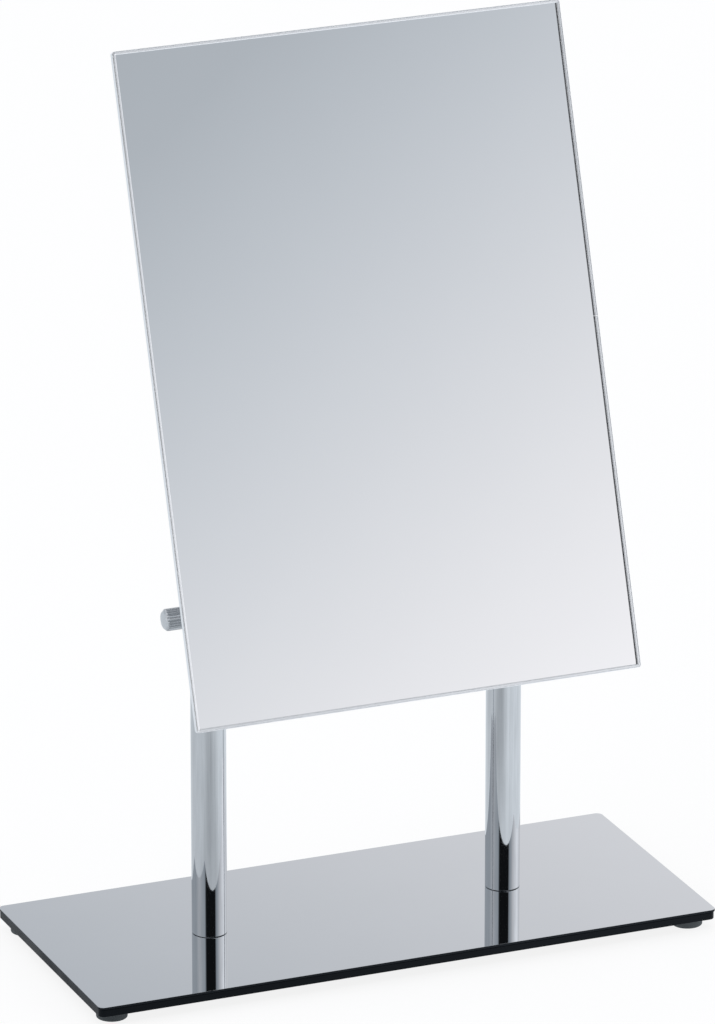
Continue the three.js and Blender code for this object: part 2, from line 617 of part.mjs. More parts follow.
// One ear: a tab that rises from the plate and ends in a half circle about the hinge axis.
function hingeEar(x) {
  const root = -HINGE_PLATE_Y - HINGE_PLATE_THICKNESS / 2;
  const outline = new THREE.Shape();
  outline.moveTo(-HINGE_EAR_RADIUS, root);
  outline.absarc(0, 0, HINGE_EAR_RADIUS, Math.PI, Math.PI * 2);
  outline.lineTo(HINGE_EAR_RADIUS, root);
  outline.holes.push(roundHole(0, 0, BUSH_RADIUS + 2 * CONTACT_GAP));
  const options = { depth: HINGE_EAR_THICKNESS, bevelEnabled: false, curveSegments: CORNER_SEGMENTS * 2 };
  const ear = new THREE.ExtrudeGeometry(outline, options).translate(0, 0, -HINGE_EAR_THICKNESS / 2);
  return ear.rotateX(Math.PI).rotateY(-Math.PI / 2).translate(x, 0, 0);
}

function hingePlate() {
  const shape = roundedRectangle(HINGE_PLATE_WIDTH, HINGE_PLATE_HEIGHT, HINGE_PLATE_CORNER);
  for (const [x, z] of hingeScrewPlaces()) {
    shape.holes.push(roundHole(x, z, PLATE_SCREW_RADIUS + HOLE_CLEARANCE));
  }
  const plate = uprightSlab(shape, HINGE_PLATE_Y, HINGE_PLATE_THICKNESS);
  return join(plate, hingeEar(-HINGE_EAR_X), hingeEar(HINGE_EAR_X));
}

function hingeBush() {
  const bore = CROSSBAR_RADIUS + CONTACT_GAP;
  const half = HINGE_EAR_THICKNESS / 2;
  const flangeTop = -half - CONTACT_GAP;
  const flangeBottom = flangeTop - BUSH_FLANGE_THICKNESS;
  return alongX(revolve([
    [bore, flangeBottom], [BUSH_FLANGE_RADIUS, flangeBottom], [BUSH_FLANGE_RADIUS, flangeTop],
    [BUSH_RADIUS, flangeTop], [BUSH_RADIUS, half], [bore, half], [bore, flangeBottom],
  ], MEDIUM_SEGMENTS));
}

function hingeScrew() {
  const tip = COVER_BACK_Y - PLATE_SCREW_REACH;
  const seat = HINGE_PLATE_BACK_Y + CONTACT_GAP;
  const top = seat + PLATE_SCREW_HEAD_HEIGHT;
  const screw = revolve([
    [0, tip], [PLATE_SCREW_RADIUS, tip], [PLATE_SCREW_RADIUS, seat], [PLATE_SCREW_HEAD_RADIUS, seat],
    [PLATE_SCREW_HEAD_RADIUS, seat + PLATE_SCREW_HEAD_HEIGHT / 2],
    [PLATE_SCREW_HEAD_RADIUS * PLATE_SCREW_CROWN, top], [0, top],
  ], SMALL_SEGMENTS);
  const socketBottom = top - PLATE_SCREW_HEAD_HEIGHT * SOCKET_DEPTH_SHARE;
  const socketRadius = PLATE_SCREW_RADIUS * SOCKET_WIDTH_SHARE;
  return alongY(cut(screw, rod(socketRadius, socketBottom, top + CUT_MARGIN, SOCKET_SIDES)));
}

function addMirror(parent) {
  place(parent, 'frame_band', frameBand(), chrome);
  place(parent, 'mirror_glass', mirrorGlass(), silvered);
  place(parent, 'foam_pad', foamPad(), foam);
  place(parent, 'back_cover', backCover(), greyPlastic);
  place(parent, 'hinge_plate', hingePlate(), plainSteel);
  place(parent, 'hinge_bush_left', hingeBush().rotateY(Math.PI), whiteNylon, -HINGE_EAR_X);
  place(parent, 'hinge_bush_right', hingeBush(), whiteNylon, HINGE_EAR_X);
  hingeScrewPlaces().forEach(([x, z], i) => {
    place(parent, `hinge_screw_${i + 1}`, hingeScrew(), plainSteel, x, 0, z);
  });
}

// ---- Assembly ----
const shavingMirror = new THREE.Group();
shavingMirror.position.y = POST_LINE_Y;
addBase(shavingMirror);
addFixedPosts(shavingMirror);
addClamp(shavingMirror);
addLift(shavingMirror);

const mirrorHead = new THREE.Group();
mirrorHead.position.z = HINGE_Z;
mirrorHead.rotation.x = -TILT;
addMirror(mirrorHead);
shavingMirror.add(mirrorHead);

export default shavingMirror;
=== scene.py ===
"""Looks of the extendable shaving mirror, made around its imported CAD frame.

Units are metres, in the CAD model's own frame: +X along the base, +Y away from the user, +Z up.
"""

import math

import bmesh
import bpy
from mathutils import Matrix, Vector


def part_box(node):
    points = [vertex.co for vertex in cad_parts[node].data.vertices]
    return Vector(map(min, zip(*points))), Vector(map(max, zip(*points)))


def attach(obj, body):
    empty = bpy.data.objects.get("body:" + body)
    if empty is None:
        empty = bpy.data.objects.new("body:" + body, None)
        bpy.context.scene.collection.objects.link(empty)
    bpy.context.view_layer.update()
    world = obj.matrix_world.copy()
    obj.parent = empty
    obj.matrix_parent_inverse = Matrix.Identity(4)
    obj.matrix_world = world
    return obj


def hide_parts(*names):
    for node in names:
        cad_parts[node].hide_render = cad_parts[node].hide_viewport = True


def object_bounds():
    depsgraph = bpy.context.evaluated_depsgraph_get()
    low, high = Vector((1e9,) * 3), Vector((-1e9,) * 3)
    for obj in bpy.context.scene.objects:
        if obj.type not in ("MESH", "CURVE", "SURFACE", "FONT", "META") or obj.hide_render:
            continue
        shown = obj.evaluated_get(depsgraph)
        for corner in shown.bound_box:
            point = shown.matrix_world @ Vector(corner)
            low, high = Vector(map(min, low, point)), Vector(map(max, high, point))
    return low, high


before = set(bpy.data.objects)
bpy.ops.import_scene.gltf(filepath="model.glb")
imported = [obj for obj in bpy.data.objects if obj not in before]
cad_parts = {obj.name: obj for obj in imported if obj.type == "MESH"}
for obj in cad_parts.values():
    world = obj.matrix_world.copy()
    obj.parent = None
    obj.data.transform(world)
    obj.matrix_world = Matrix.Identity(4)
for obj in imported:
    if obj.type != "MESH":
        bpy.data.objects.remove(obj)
cad_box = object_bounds()

MM = 0.001
FULL_TURN = 2 * math.pi

# ---- Camera ----
CAMERA_AZIMUTH = math.radians(-22.702)
CAMERA_ELEVATION = math.radians(19.664)
CAMERA_DISTANCE = 2.9711
CAMERA_LENS = 309.35
CAMERA_AIM_FROM_CENTRE = Vector((0.0089, 0.0242, -0.0157))
CAMERA_CLIP_END = 50.0

# ---- Floor ----
FLOOR_RADIUS = 6.0
FLOOR_DROP = 0.02 * MM
FLOOR_STEPS = 128
FLOOR_SHEET = 0.2
FLOOR_GLOW_SEEN = 0.86
FLOOR_GLOW_REFLECTED = 0.8
# Painted light and shade on the floor, seen only in reflections: darker to the left, and a painted shadow in
# a patch in front of the object.
PAINTED_SHADOW_CENTRE = (-0.075, -0.14)
PAINTED_SHADOW_RADII = (0.14, 0.16)
# A fade is where it starts and ends, and the levels before and after it.
FLOOR_PAINTED_SIDE_SHADE = (-0.15, 0.15, 0.80, 1.03)
PAINTED_SHADOW_FADE = (0.1, 1.15, 0.64, 1.0)

# ---- Studio light: directions in degrees, levels where 1 is white ----
BOX_CENTRE = (22.0, 15.0)
BOX_LOW_LEVEL = 0.773
BOX_LOW_SLOPES = (0.0494, -0.0886)
BOX_GLOW_EDGE = (14.0, 19.0)
BOX_GLOW_SHARE = 0.3
BOX_GLOW_LEVEL = 0.36
BOX_HIGH_LEVEL = 0.45
BOX_HIGH_SLOPE = 0.0195
BOX_HIGH_EDGE = (16.0, 20.5)
BOX_TOP_FADE = (24.0, 38.0, 1.0, 0.0)
BOX_LOW_TO_HIGH = (18.2, 21.5)
BOX_DARKEST = 0.012
BOX_BRIGHTEST_FADE = (16.5, 19.4, 1.12, 1.6)
LEFT_SIDE_FADE = (-100.0, -50.0, 0.86, 0.62)
LEFT_FOOT_FADE = (3.0, 15.0, 0.35, 0.0)
LEFT_TO_BOX = (-54.0, -41.0)
BACK_CENTRE = (22.7, 22.2)
BACK_LEVEL = 0.845
BACK_SLOPES = (0.0389, -0.0864)
BACK_RANGE = (0.62, 1.05)
FRONT_TO_BACK = (85.0, 125.0)
OVERHEAD_LEVEL = 0.92
TO_OVERHEAD = (45.0, 65.0)
GROUND_LEVEL = 0.95
GROUND_TO_SKY = (-4.0, 0.0)
SHADE_TO_LIGHT = (0.45, 1.0)
RED_SHARES = (0.922, 1.003)
BLUE_SHARES = (1.09, 1.031)

# ---- Fineness of the round surfaces ----
ROUND_STEPS = 96
SMALL_STEPS = 48
ARC_STEPS = 6
CORNER_STEPS = 10
SHARP_ANGLE = math.radians(40)

# ---- What repeats ----
SIDES = (("left", -1), ("right", 1))
HINGE_SCREWS = range(1, 5)
TOOL_REACH = 10.0 * MM

# ---- Base ----
BASE_CORNER = 2.0 * MM
PLATE_EDGE = 0.1 * MM
WEIGHT_EDGE = 0.25 * MM
SCREW_HOLE = 2.25 * MM
PAINTED_SLOPE = 0.8
FOOT_EDGE = 0.35 * MM
FOOT_BACK_EDGE = 0.3 * MM
FOOT_TAPER = 0.15 * MM
FOOT_DISH_EDGE = 0.2 * MM
FOOT_RECESS_RADIUS = 3.0 * MM
FOOT_RECESS_DEPTH = 0.35 * MM

# ---- Posts ----
INNER_TUBE_RADIUS = 4.5 * MM
OUTER_TUBE_WALL = 0.8 * MM
INNER_TUBE_WALL = 0.8 * MM
TUBE_EDGE = 0.22 * MM
WASHER_EDGE = 0.1 * MM
COLLAR_BORE_GAP = 0.15 * MM
PLUG_BORE = 2.25 * MM
PLUG_CAP = 2.0 * MM
PLUG_BORE_EDGE = 0.2 * MM
PLUG_FOOT_EDGE = 0.3 * MM
PLUG_TOP_EDGE = 0.4 * MM
SLIDE_FOOT_SHOULDER = 10.0 * MM
SLIDE_FOOT_STEM = 3.6 * MM
SLIDE_FOOT_EDGE = 0.5 * MM
SLIDE_STEM_EDGE = 0.4 * MM
GROOVES_UP_THE_FOOT = (3.0 * MM, 6.5 * MM)
GROOVE_DEPTH = 0.3 * MM
GROOVE_SLOPE = 0.2 * MM
GROOVE_WIDTH = 0.8 * MM
GROOVE_EDGE = 0.08 * MM
GUIDE_SLEEVE = 5.1 * MM
GUIDE_FLANGE = 2.0 * MM
GUIDE_BOTTOM_EDGE = 0.15 * MM
GUIDE_SLEEVE_EDGE = 0.2 * MM
GUIDE_FLANGE_EDGE = 0.12 * MM
GUIDE_TOP_EDGE = 0.5 * MM

# ---- Screws ----
THREAD_DEPTH_SHARE = 0.61
THREAD_STEPS_PER_TURN = 6
M3_PITCH = 0.5 * MM
M4_PITCH = 0.7 * MM
M3_RADIUS = 1.5 * MM
M4_RADIUS = 2.0 * MM
SCREW_EDGE = 0.25 * MM
SOCKET_EDGE = 0.1 * MM
POST_SCREW_HEAD = 2.1 * MM
POST_SCREW_EDGES = (0.15 * MM, 0.5 * MM)
POST_SOCKET = 1.5 * MM
POST_SOCKET_RIM = 1.85 * MM
POST_SOCKET_DEPTH = 1.3 * MM
GRUB_SOCKET = 0.75 * MM
GRUB_SOCKET_RIM = 0.95 * MM
GRUB_SOCKET_DEPTH = 1.0 * MM
BUTTON_HEAD = 1.7 * MM
BUTTON_RIM = 0.4 * MM
BUTTON_ARC = math.radians(60)
BUTTON_STEPS = 6
BUTTON_SOCKET = 1.05 * MM
BUTTON_SOCKET_RIM = 1.3 * MM
BUTTON_SOCKET_DEPTH = 1.1 * MM

# ---- Clamp ----
KNOB_TEETH = 24
KNOB_STEPS = 240
KNOB_TOOTH_DEPTH = 0.32 * MM
KNOB_TOOTH_SHARPNESS = 0.7
KNOB_BACK_EDGE = 0.2 * MM
KNOB_BACK_TAPERS = (0.6 * MM, 0.3 * MM)
KNOB_RUN_IN = 0.5 * MM
KNOB_RUN_OUT = 0.4 * MM
KNOB_SOFTENING = 0.1 * MM
KNOB_SOFT_DROP = 0.12 * MM
KNOB_BEVEL = 0.9 * MM
KNOB_DOME = 0.35 * MM
DOME_STEPS = 8
KNOB_BORE = 1.6 * MM
KNOB_SOCKET_DEPTH = 4.0 * MM
BOSS_SHANK = 3.0 * MM
BOSS_BORE = 1.6 * MM
BOSS_FLANGE_THICKNESS = 1.2 * MM
BOSS_FLANGE_EDGE = 0.3 * MM
BOSS_BORE_EDGE = 0.2 * MM
BOSS_SADDLE = 1.0 * MM
TUBE_BORE = 5.2 * MM
CLEAR_OF_TUBE_BORE = 5.3 * MM
WINDOW_REACH = 20.0 * MM
WALL_GAP = 0.1 * MM
PAD_EDGE = 0.3 * MM
PAD_DIMPLE = 0.25 * MM

# ---- Hinge ----
HEAD_EDGE = 1.0 * MM
HEAD_STEM_RADIUS = 3.6 * MM
HEAD_STEM_EDGE = 0.4 * MM
HEAD_BORE_PAST_MIDDLE = 0.6 * MM
CROSSBAR_RADIUS = 3.0 * MM
BAR_CENTRE_HOLE = 0.8 * MM
HINGE_BORE = 3.1 * MM
GRUB_HOLE = 1.6 * MM
WASHER_WAVES = 3
WASHER_SHEET = 0.3 * MM
WASHER_ROUND = 0.05 * MM
BUSH_BARREL = 4.0 * MM
BUSH_FLANGE = 0.9 * MM
BUSH_EDGE = 0.2 * MM
BUSH_BORE_EDGE = 0.15 * MM
BUSH_FLANGE_EDGE = 0.12 * MM
EAR_BORE = 4.2 * MM
EAR_THICKNESS = 2.0 * MM
EAR_FROM_MIDDLE = 26.0 * MM
EAR_STEPS = 32
PLATE_SHEET = 1.5 * MM
PLATE_HEIGHT = 36.0 * MM
PLATE_HOLE = 1.75 * MM
PLATE_CORNER = 4.0 * MM
PLATE_SHEET_EDGE = 0.2 * MM

# ---- Mirror head ----
FRAME_CORNER = 1.0 * MM
FRAME_INNER_CORNER = 0.2 * MM
LIP_WIDTH = 1.15 * MM
LIP_THICKNESS = 0.75 * MM
BAND_WALL = 0.5 * MM
BAND_BACK_EDGE = 0.08 * MM
LIP_CREST = 0.12 * MM
LIP_SLOPE_DROP = 0.01 * MM
LIP_INNER_ROUND = 0.2 * MM
LIP_BACK_ROUND = 0.05 * MM
LIP_LINE = 0.2 * MM
LIP_LINE_WIDTH = 0.2 * MM
LIP_LINE_DEPTH = 0.12 * MM
LIP_LINE_ROUND = 0.03 * MM
BAND_JOINT_GAP = 0.15 * MM
BAND_JOINT_ABOVE_MIDDLE = 6.1 * MM
GLASS_EDGE = 0.15 * MM
GLASS_CORNER = 0.5 * MM
COVER_CORNER = 4.0 * MM
COVER_BEVEL = 3.0 * MM
COVER_ROUND = 0.8 * MM
COVER_FRONT_EDGE = 0.15 * MM
COVER_HOLE_DEPTH = 1.5 * MM
PAST_THE_FACE = 1.0 * MM
COVER_RECESS_BORDER = 6.0 * MM
COVER_RECESS_DEPTH = 1.6 * MM
COVER_RECESS_CORNER = 2.0 * MM
FOAM_EDGE = 0.3 * MM


# ==== Shapes ====
def at(value, angle):
    """A ring's radius or height at an angle: a number, or a function of the angle."""
    return value(angle) if callable(value) else value


def loft(rings, steps=ROUND_STEPS, hollow=False):
    """Rings about Z, each joined to the next. A ring is (radius, height), and radius 0 is one point.

    A hollow shape's last ring is joined to its first.
    """
    shape = bmesh.new()
    rows = []
    for radius, height in rings:
        if radius == 0:
            rows.append([shape.verts.new((0, 0, at(height, 0)))])
            continue
        row = []
        for step in range(steps):
            angle = FULL_TURN * step / steps
            r = at(radius, angle)
            row.append(shape.verts.new((r * math.cos(angle), r * math.sin(angle), at(height, angle))))
        rows.append(row)
    pairs = list(zip(rows, rows[1:]))
    if hollow:
        pairs.append((rows[-1], rows[0]))
    for lower, upper in pairs:
        if len(lower) == len(upper) == 1:
            continue
        for step in range(steps):
            following = (step + 1) % steps
            if len(lower) == 1:
                corners = [lower[0], upper[following], upper[step]]
            elif len(upper) == 1:
                corners = [lower[step], lower[following], upper[0]]
            else:
                corners = [lower[step], lower[following], upper[following], upper[step]]
            shape.faces.new(corners)
    return to_mesh(shape)


def filleted(corners, closed=False):
    """A profile with rounded corners. Each corner is (radius, height, rounding)."""
    points = []
    count = len(corners)
    for i, (x, y, rounding) in enumerate(corners):
        here = Vector((x, y))
        at_end = not closed and i in (0, count - 1)
        if rounding == 0 or at_end:
            points.append((here.x, here.y))
            continue
        before = Vector(corners[i - 1][:2])
        after = Vector(corners[(i + 1) % count][:2])
        start = here + (before - here).normalized() * rounding
        end = here + (after - here).normalized() * rounding
        half_turn = (before - here).angle(after - here) / 2
        weight = math.sin(half_turn)
        for step in range(ARC_STEPS + 1):
            t = step / ARC_STEPS
            shares = ((1 - t) ** 2, 2 * t * (1 - t) * weight, t ** 2)
            point = (start * shares[0] + here * shares[1] + end * shares[2]) / sum(shares)
            points.append((point.x, point.y))
    return points


def rod(radius, bottom, top, rounding, steps=ROUND_STEPS):
    profile = filleted([(0, bottom, 0), (radius, bottom, rounding), (radius, top, rounding), (0, top, 0)])
    return loft(profile, steps)


def centred_rod(radius, bottom, top, rounding, dimple, steps=ROUND_STEPS):
    """A turned rod with a small conical centre hole in each end."""
    soft = dimple / 4
    return loft(filleted([
        (0, bottom + dimple, 0), (dimple, bottom, soft), (radius, bottom, rounding),
        (radius, top, rounding), (dimple, top, soft), (0, top - dimple, 0),
    ]), steps)


def sleeve(inner, outer, bottom, top, rounding, steps=ROUND_STEPS):
    soft = rounding / 2
    profile = filleted([
        (inner, bottom, soft), (outer, bottom, rounding), (outer, top, rounding), (inner, top, soft),
    ], closed=True)
    return loft(profile, steps, hollow=True)


def hexagon(apothem):
    """The radius of a hexagon, as a function of the angle."""
    sixth = FULL_TURN / 6
    return lambda angle: apothem / math.cos(angle % sixth - sixth / 2)


def thread(radius, pitch, height):
    """The radius of a right-hand screw thread at one height, as a function of the angle."""
    depth = pitch * THREAD_DEPTH_SHARE

    def at_angle(angle):
        turn = (height / pitch - angle / FULL_TURN) % 1
        return radius - depth * abs(2 * turn - 1)

    return at_angle


def thread_rings(radius, pitch, bottom, top):
    """Rings of a thread from bottom to top, with its two ends run out to the core."""
    core = radius - pitch * THREAD_DEPTH_SHARE
    count = max(2, round(abs(top - bottom) / pitch * THREAD_STEPS_PER_TURN))
    rings = [(core, bottom)]
    for i in range(1, count):
        height = bottom + (top - bottom) * i / count
        rings.append((thread(radius, pitch, height), height))
    return rings + [(core, top)]


def small_shank(bottom, top):
    """Rings of an M3 screw, from its closed lower end to the end of its thread."""
    thread_part = thread_rings(M3_RADIUS, M3_PITCH, bottom + SCREW_EDGE, top)
    return [(0, bottom), (M3_RADIUS / 2, bottom), *thread_part]


def hex_socket(top, apothem, rim, depth):
    """Rings of a hexagon socket that opens upwards, from its bevelled rim to its floor."""
    wall = hexagon(apothem)
    return [(rim, top), (wall, top - SOCKET_EDGE), (wall, top - depth), (0, top - depth)]


def rounded_rectangle(width, height, radius):
    """Corner points of a rectangle with round corners, anticlockwise from its right side."""
    points = []
    for quarter, (side_x, side_y) in enumerate([(1, 1), (-1, 1), (-1, -1), (1, -1)]):
        centre_x = side_x * (width / 2 - radius)
        centre_y = side_y * (height / 2 - radius)
        for step in range(CORNER_STEPS + 1):
            angle = math.pi / 2 * (quarter + step / CORNER_STEPS)
            points.append((centre_x + radius * math.cos(angle), centre_y + radius * math.sin(angle)))
    return points


def inset_outline(width, height, radius):
    """The same outline drawn in by an inset, with the same number of points."""
    smallest = 0.05 * MM

    def outline(inset):
        return rounded_rectangle(width - 2 * inset, height - 2 * inset, max(radius - inset, smallest))

    return outline


def slab(outline, levels, holes=()):
    """A slab made of outlines at (inset, height) levels, closed flat at both ends, with round holes."""
    shape = bmesh.new()
    rows = [[shape.verts.new((x, y, height)) for x, y in outline(inset)] for inset, height in levels]
    walls = [rows]
    bottom, top = levels[0][1], levels[-1][1]
    for x, y, radius in holes:
        angles = [FULL_TURN * step / SMALL_STEPS for step in range(SMALL_STEPS)]
        ring = [(x + radius * math.cos(a), y + radius * math.sin(a)) for a in angles]
        walls.append([[shape.verts.new((px, py, z)) for px, py in ring] for z in (bottom, top)])
    for wall in walls:
        join_rows(shape, wall)
    for end in (0, -1):
        edges = []
        for wall in walls:
            row = wall[end]
            edges += [shape.edges.get((row[i - 1], row[i])) for i in range(len(row))]
        bmesh.ops.triangle_fill(shape, use_beauty=True, edges=edges)
    return to_mesh(shape)


def join_rows(shape, rows):
    for lower, upper in zip(rows, rows[1:]):
        for i in range(len(lower)):
            shape.faces.new([lower[i - 1], lower[i], upper[i], upper[i - 1]])


def edge_levels(bottom, top, rounding):
    """Levels of a plain slab whose two edges are rounded."""
    profile = filleted([(1, bottom, 0), (0, bottom, rounding), (0, top, rounding), (1, top, 0)])
    return profile[1:-1]


def to_mesh(shape):
    bmesh.ops.recalc_face_normals(shape, faces=shape.faces)
    mesh = bpy.data.meshes.new("shape")
    shape.to_mesh(mesh)
    shape.free()
    return mesh


def combine(mesh, tool, operation="DIFFERENCE"):
    """The mesh with the tool cut out of it, or joined to it."""
    bodies = [bpy.data.objects.new("shape", part) for part in (mesh, tool)]
    for body in bodies:
        bpy.context.scene.collection.objects.link(body)
    modifier = bodies[0].modifiers.new("combine", "BOOLEAN")
    modifier.operation = operation
    modifier.object = bodies[1]
    modifier.solver = "EXACT"
    depsgraph = bpy.context.evaluated_depsgraph_get()
    result = bpy.data.meshes.new_from_object(bodies[0].evaluated_get(depsgraph))
    for body in bodies:
        bpy.data.objects.remove(body)
    return result


def moved(mesh, matrix):
    mesh.transform(matrix)
    return mesh


# ==== Node trees ====
class Nodes:
    """Adds nodes to one material or world and joins them up."""

    def __init__(self, owner):
        owner.use_nodes = True
        self.tree = owner.node_tree
        self.tree.nodes.clear()

    def add(self, kind, **settings):
        node = self.tree.nodes.new(kind)
        for key, value in settings.items():
            setattr(node, key, value)
        return node

    def feed(self, socket, value):
        """Sets an input to a number or colour, or joins another node's output to it."""
        if isinstance(value, bpy.types.NodeSocket):
            self.tree.links.new(value, socket)
        else:
            socket.default_value = value

    def maths(self, operation, a, b=0.0):
        node = self.add("ShaderNodeMath", operation=operation)
        self.feed(node.inputs[0], a)
        self.feed(node.inputs[1], b)
        return node.outputs[0]

    def plus(self, a, b):
        return self.maths("ADD", a, b)

    def times(self, a, b):
        return self.maths("MULTIPLY", a, b)

    def clamp(self, value, low, high):
        return self.maths("MINIMUM", self.maths("MAXIMUM", value, low), high)

    def fade(self, value, low, high, to_low=0.0, to_high=1.0):
        """A smooth step from to_low to to_high as value goes from low to high."""
        node = self.add("ShaderNodeMapRange", interpolation_type="SMOOTHSTEP")
        self.feed(node.inputs["Value"], value)
        self.feed(node.inputs["From Min"], low)
        self.feed(node.inputs["From Max"], high)
        self.feed(node.inputs["To Min"], to_low)
        self.feed(node.inputs["To Max"], to_high)
        return node.outputs["Result"]

    def slope(self, value, centre, per_unit):
        """How much something changes for each unit that value is away from a centre."""
        return self.times(self.plus(value, -centre), per_unit)

    def ramp(self, values, centres, level, slopes):
        """A level that changes evenly with each of two values as they leave their centres."""
        first, second = (self.slope(*term) for term in zip(values, centres, slopes))
        return self.plus(self.plus(first, second), level)

    def colour(self, red, green, blue):
        node = self.add("ShaderNodeCombineColor")
        for socket, share in zip(node.inputs, (red, green, blue)):
            self.feed(socket, share)
        return node.outputs[0]

    def mix(self, factor, a, b):
        node = self.add("ShaderNodeMix", data_type="FLOAT")
        self.feed(node.inputs[0], factor)
        self.feed(node.inputs[2], a)
        self.feed(node.inputs[3], b)
        return node.outputs[0]

    def mix_colour(self, factor, a, b):
        node = self.add("ShaderNodeMix", data_type="RGBA")
        self.feed(node.inputs[0], factor)
        self.feed(node.inputs[6], a)
        self.feed(node.inputs[7], b)
        return node.outputs[2]

    def place(self, stretch=(1, 1, 1)):
        """The piece's own coordinates, stretched. A small share draws the pattern out along that axis."""
        coordinates = self.add("ShaderNodeTexCoord").outputs["Object"]
        mapping = self.add("ShaderNodeMapping")
        self.feed(mapping.inputs["Vector"], coordinates)
        self.feed(mapping.inputs["Scale"], stretch)
        return mapping.outputs["Vector"]

    def noise(self, feature, detail=2.0, stretch=(1, 1, 1), roughness=0.5):
        """Soft noise from 0 to 1, whose features are about the size given, in metres."""
        node = self.add("ShaderNodeTexNoise")
        self.feed(node.inputs["Vector"], self.place(stretch))
        self.feed(node.inputs["Scale"], 1 / feature)
        self.feed(node.inputs["Detail"], detail)
        self.feed(node.inputs["Roughness"], roughness)
        return node.outputs["Fac"]

    def cells(self, feature):
        """Distance to the nearest of many scattered points, for grain and pores."""
        node = self.add("ShaderNodeTexVoronoi")
        self.feed(node.inputs["Vector"], self.place())
        self.feed(node.inputs["Scale"], 1 / feature)
        return node.outputs["Distance"]

    def bump(self, height, depth, below=None):
        """Bump from a height of 0 to 1 that stands for a depth in metres."""
        node = self.add("ShaderNodeBump")
        self.feed(node.inputs["Height"], height)
        self.feed(node.inputs["Distance"], depth)
        self.feed(node.inputs["Strength"], 1.0)
        if below is not None:
            self.feed(node.inputs["Normal"], below)
        return node.outputs["Normal"]

    def surface(self, **inputs):
        """The finished surface. Inputs are Principled inputs, with underscores for spaces."""
        shader = self.add("ShaderNodeBsdfPrincipled")
        for key, value in inputs.items():
            self.feed(shader.inputs[key.replace("_", " ")], value)
        output = self.add("ShaderNodeOutputMaterial")
        self.feed(output.inputs["Surface"], shader.outputs[0])


def material(name):
    made = bpy.data.materials.new(name)
    return made, Nodes(made)


def grey(level, blue=0.0):
    """A neutral colour, or one a little blue."""
    return (level * (1 - blue), level, level * (1 + blue), 1.0)


# ==== Materials ====
def chrome_plate():
    """Bright chrome on drawn tube: long draw lines, cloudy polish, a few specks."""
    made, n = material("chrome")
    drawn = n.noise(0.7 * MM, detail=3, stretch=(1, 1, 0.025))
    clouds = n.noise(2.2 * MM, detail=3, stretch=(1, 1, 0.16))
    haze = n.noise(14 * MM, detail=4)
    specks = n.fade(n.noise(0.5 * MM, detail=1), 0.72, 0.8)
    tone = n.plus(n.times(drawn, 0.6), n.times(clouds, 0.4))
    roughness = n.plus(n.fade(haze, 0.35, 0.75, 0.035, 0.08), n.times(specks, 0.12))
    n.surface(
        Base_Color=n.mix_colour(n.fade(tone, 0.3, 0.7), grey(0.575, 0.028), grey(0.655, 0.028)),
        Metallic=1.0,
        Roughness=roughness,
        Normal=n.bump(clouds, 0.006 * MM, below=n.bump(drawn, 0.0016 * MM)),
    )
    return made


def satin_chrome():
    """Bead-blasted chrome, for the knob."""
    made, n = material("satin_chrome")
    blotches = n.noise(1.6 * MM, detail=4)
    grain = n.noise(0.1 * MM, detail=2)
    n.surface(
        Base_Color=n.mix_colour(blotches, grey(0.62, 0.028), grey(0.70, 0.028)),
        Metallic=1.0,
        Roughness=n.fade(blotches, 0.3, 0.7, 0.26, 0.36),
        Normal=n.bump(grain, 0.0012 * MM),
    )
    return made


def polished_steel():
    """The mirror-polished top of the base, with a very faint long ripple and a little handling haze."""
    made, n = material("polished_steel")
    ripple = n.noise(45 * MM, detail=1, stretch=(0.5, 1, 1))
    haze = n.noise(30 * MM, detail=5, roughness=0.65)
    scratches = n.fade(n.noise(0.25 * MM, detail=2, stretch=(0.02, 1, 1)), 0.68, 0.82)
    n.surface(
        Base_Color=n.mix_colour(haze, grey(0.605, 0.03), grey(0.625, 0.03)),
        Metallic=1.0,
        Roughness=n.plus(n.fade(haze, 0.4, 0.8, 0.012, 0.03), n.times(scratches, 0.02)),
        Normal=n.bump(ripple, 0.004 * MM),
    )
    return made


def satin_band():
    """The bright strip round the glass: satin-plated, with the finest grain."""
    made, n = material("satin_band")
    grain = n.noise(0.12 * MM, detail=2)
    haze = n.noise(9 * MM, detail=3)
    n.surface(
        Base_Color=n.mix_colour(haze, grey(0.91, 0.012), grey(0.97, 0.012)),
        Metallic=1.0,
        Roughness=n.fade(haze, 0.3, 0.8, 0.20, 0.28),
        Normal=n.bump(grain, 0.002 * MM),
    )
    return made


def silvered_glass():
    """The pane: silver seen through clear glass, with the faintest wipe marks."""
    made, n = material("silvered_glass")
    wipe = n.noise(28 * MM, detail=5, stretch=(1, 1, 0.45), roughness=0.6)
    n.surface(
        Base_Color=n.mix_colour(wipe, grey(0.872, 0.004), grey(0.888, 0.004)),
        Metallic=1.0,
        Roughness=n.fade(wipe, 0.45, 0.85, 0.004, 0.018),
        Coat_Weight=0.3,
        Coat_Roughness=0.01,
    )
    return made


def black_paint(name, dark, light):
    """Semi-gloss black lacquer: orange peel, finest grain, a little blue haze."""
    made, n = material(name)
    peel = n.noise(0.9 * MM, detail=2)
    grain = n.noise(0.18 * MM, detail=1)
    haze = n.noise(12 * MM, detail=4)
    n.surface(
        Base_Color=n.mix_colour(haze, dark, light),
        Roughness=n.fade(haze, 0.3, 0.8, 0.30, 0.46),
        IOR=1.22,
        Normal=n.bump(grain, 0.004 * MM, below=n.bump(peel, 0.012 * MM)),
    )
    return made


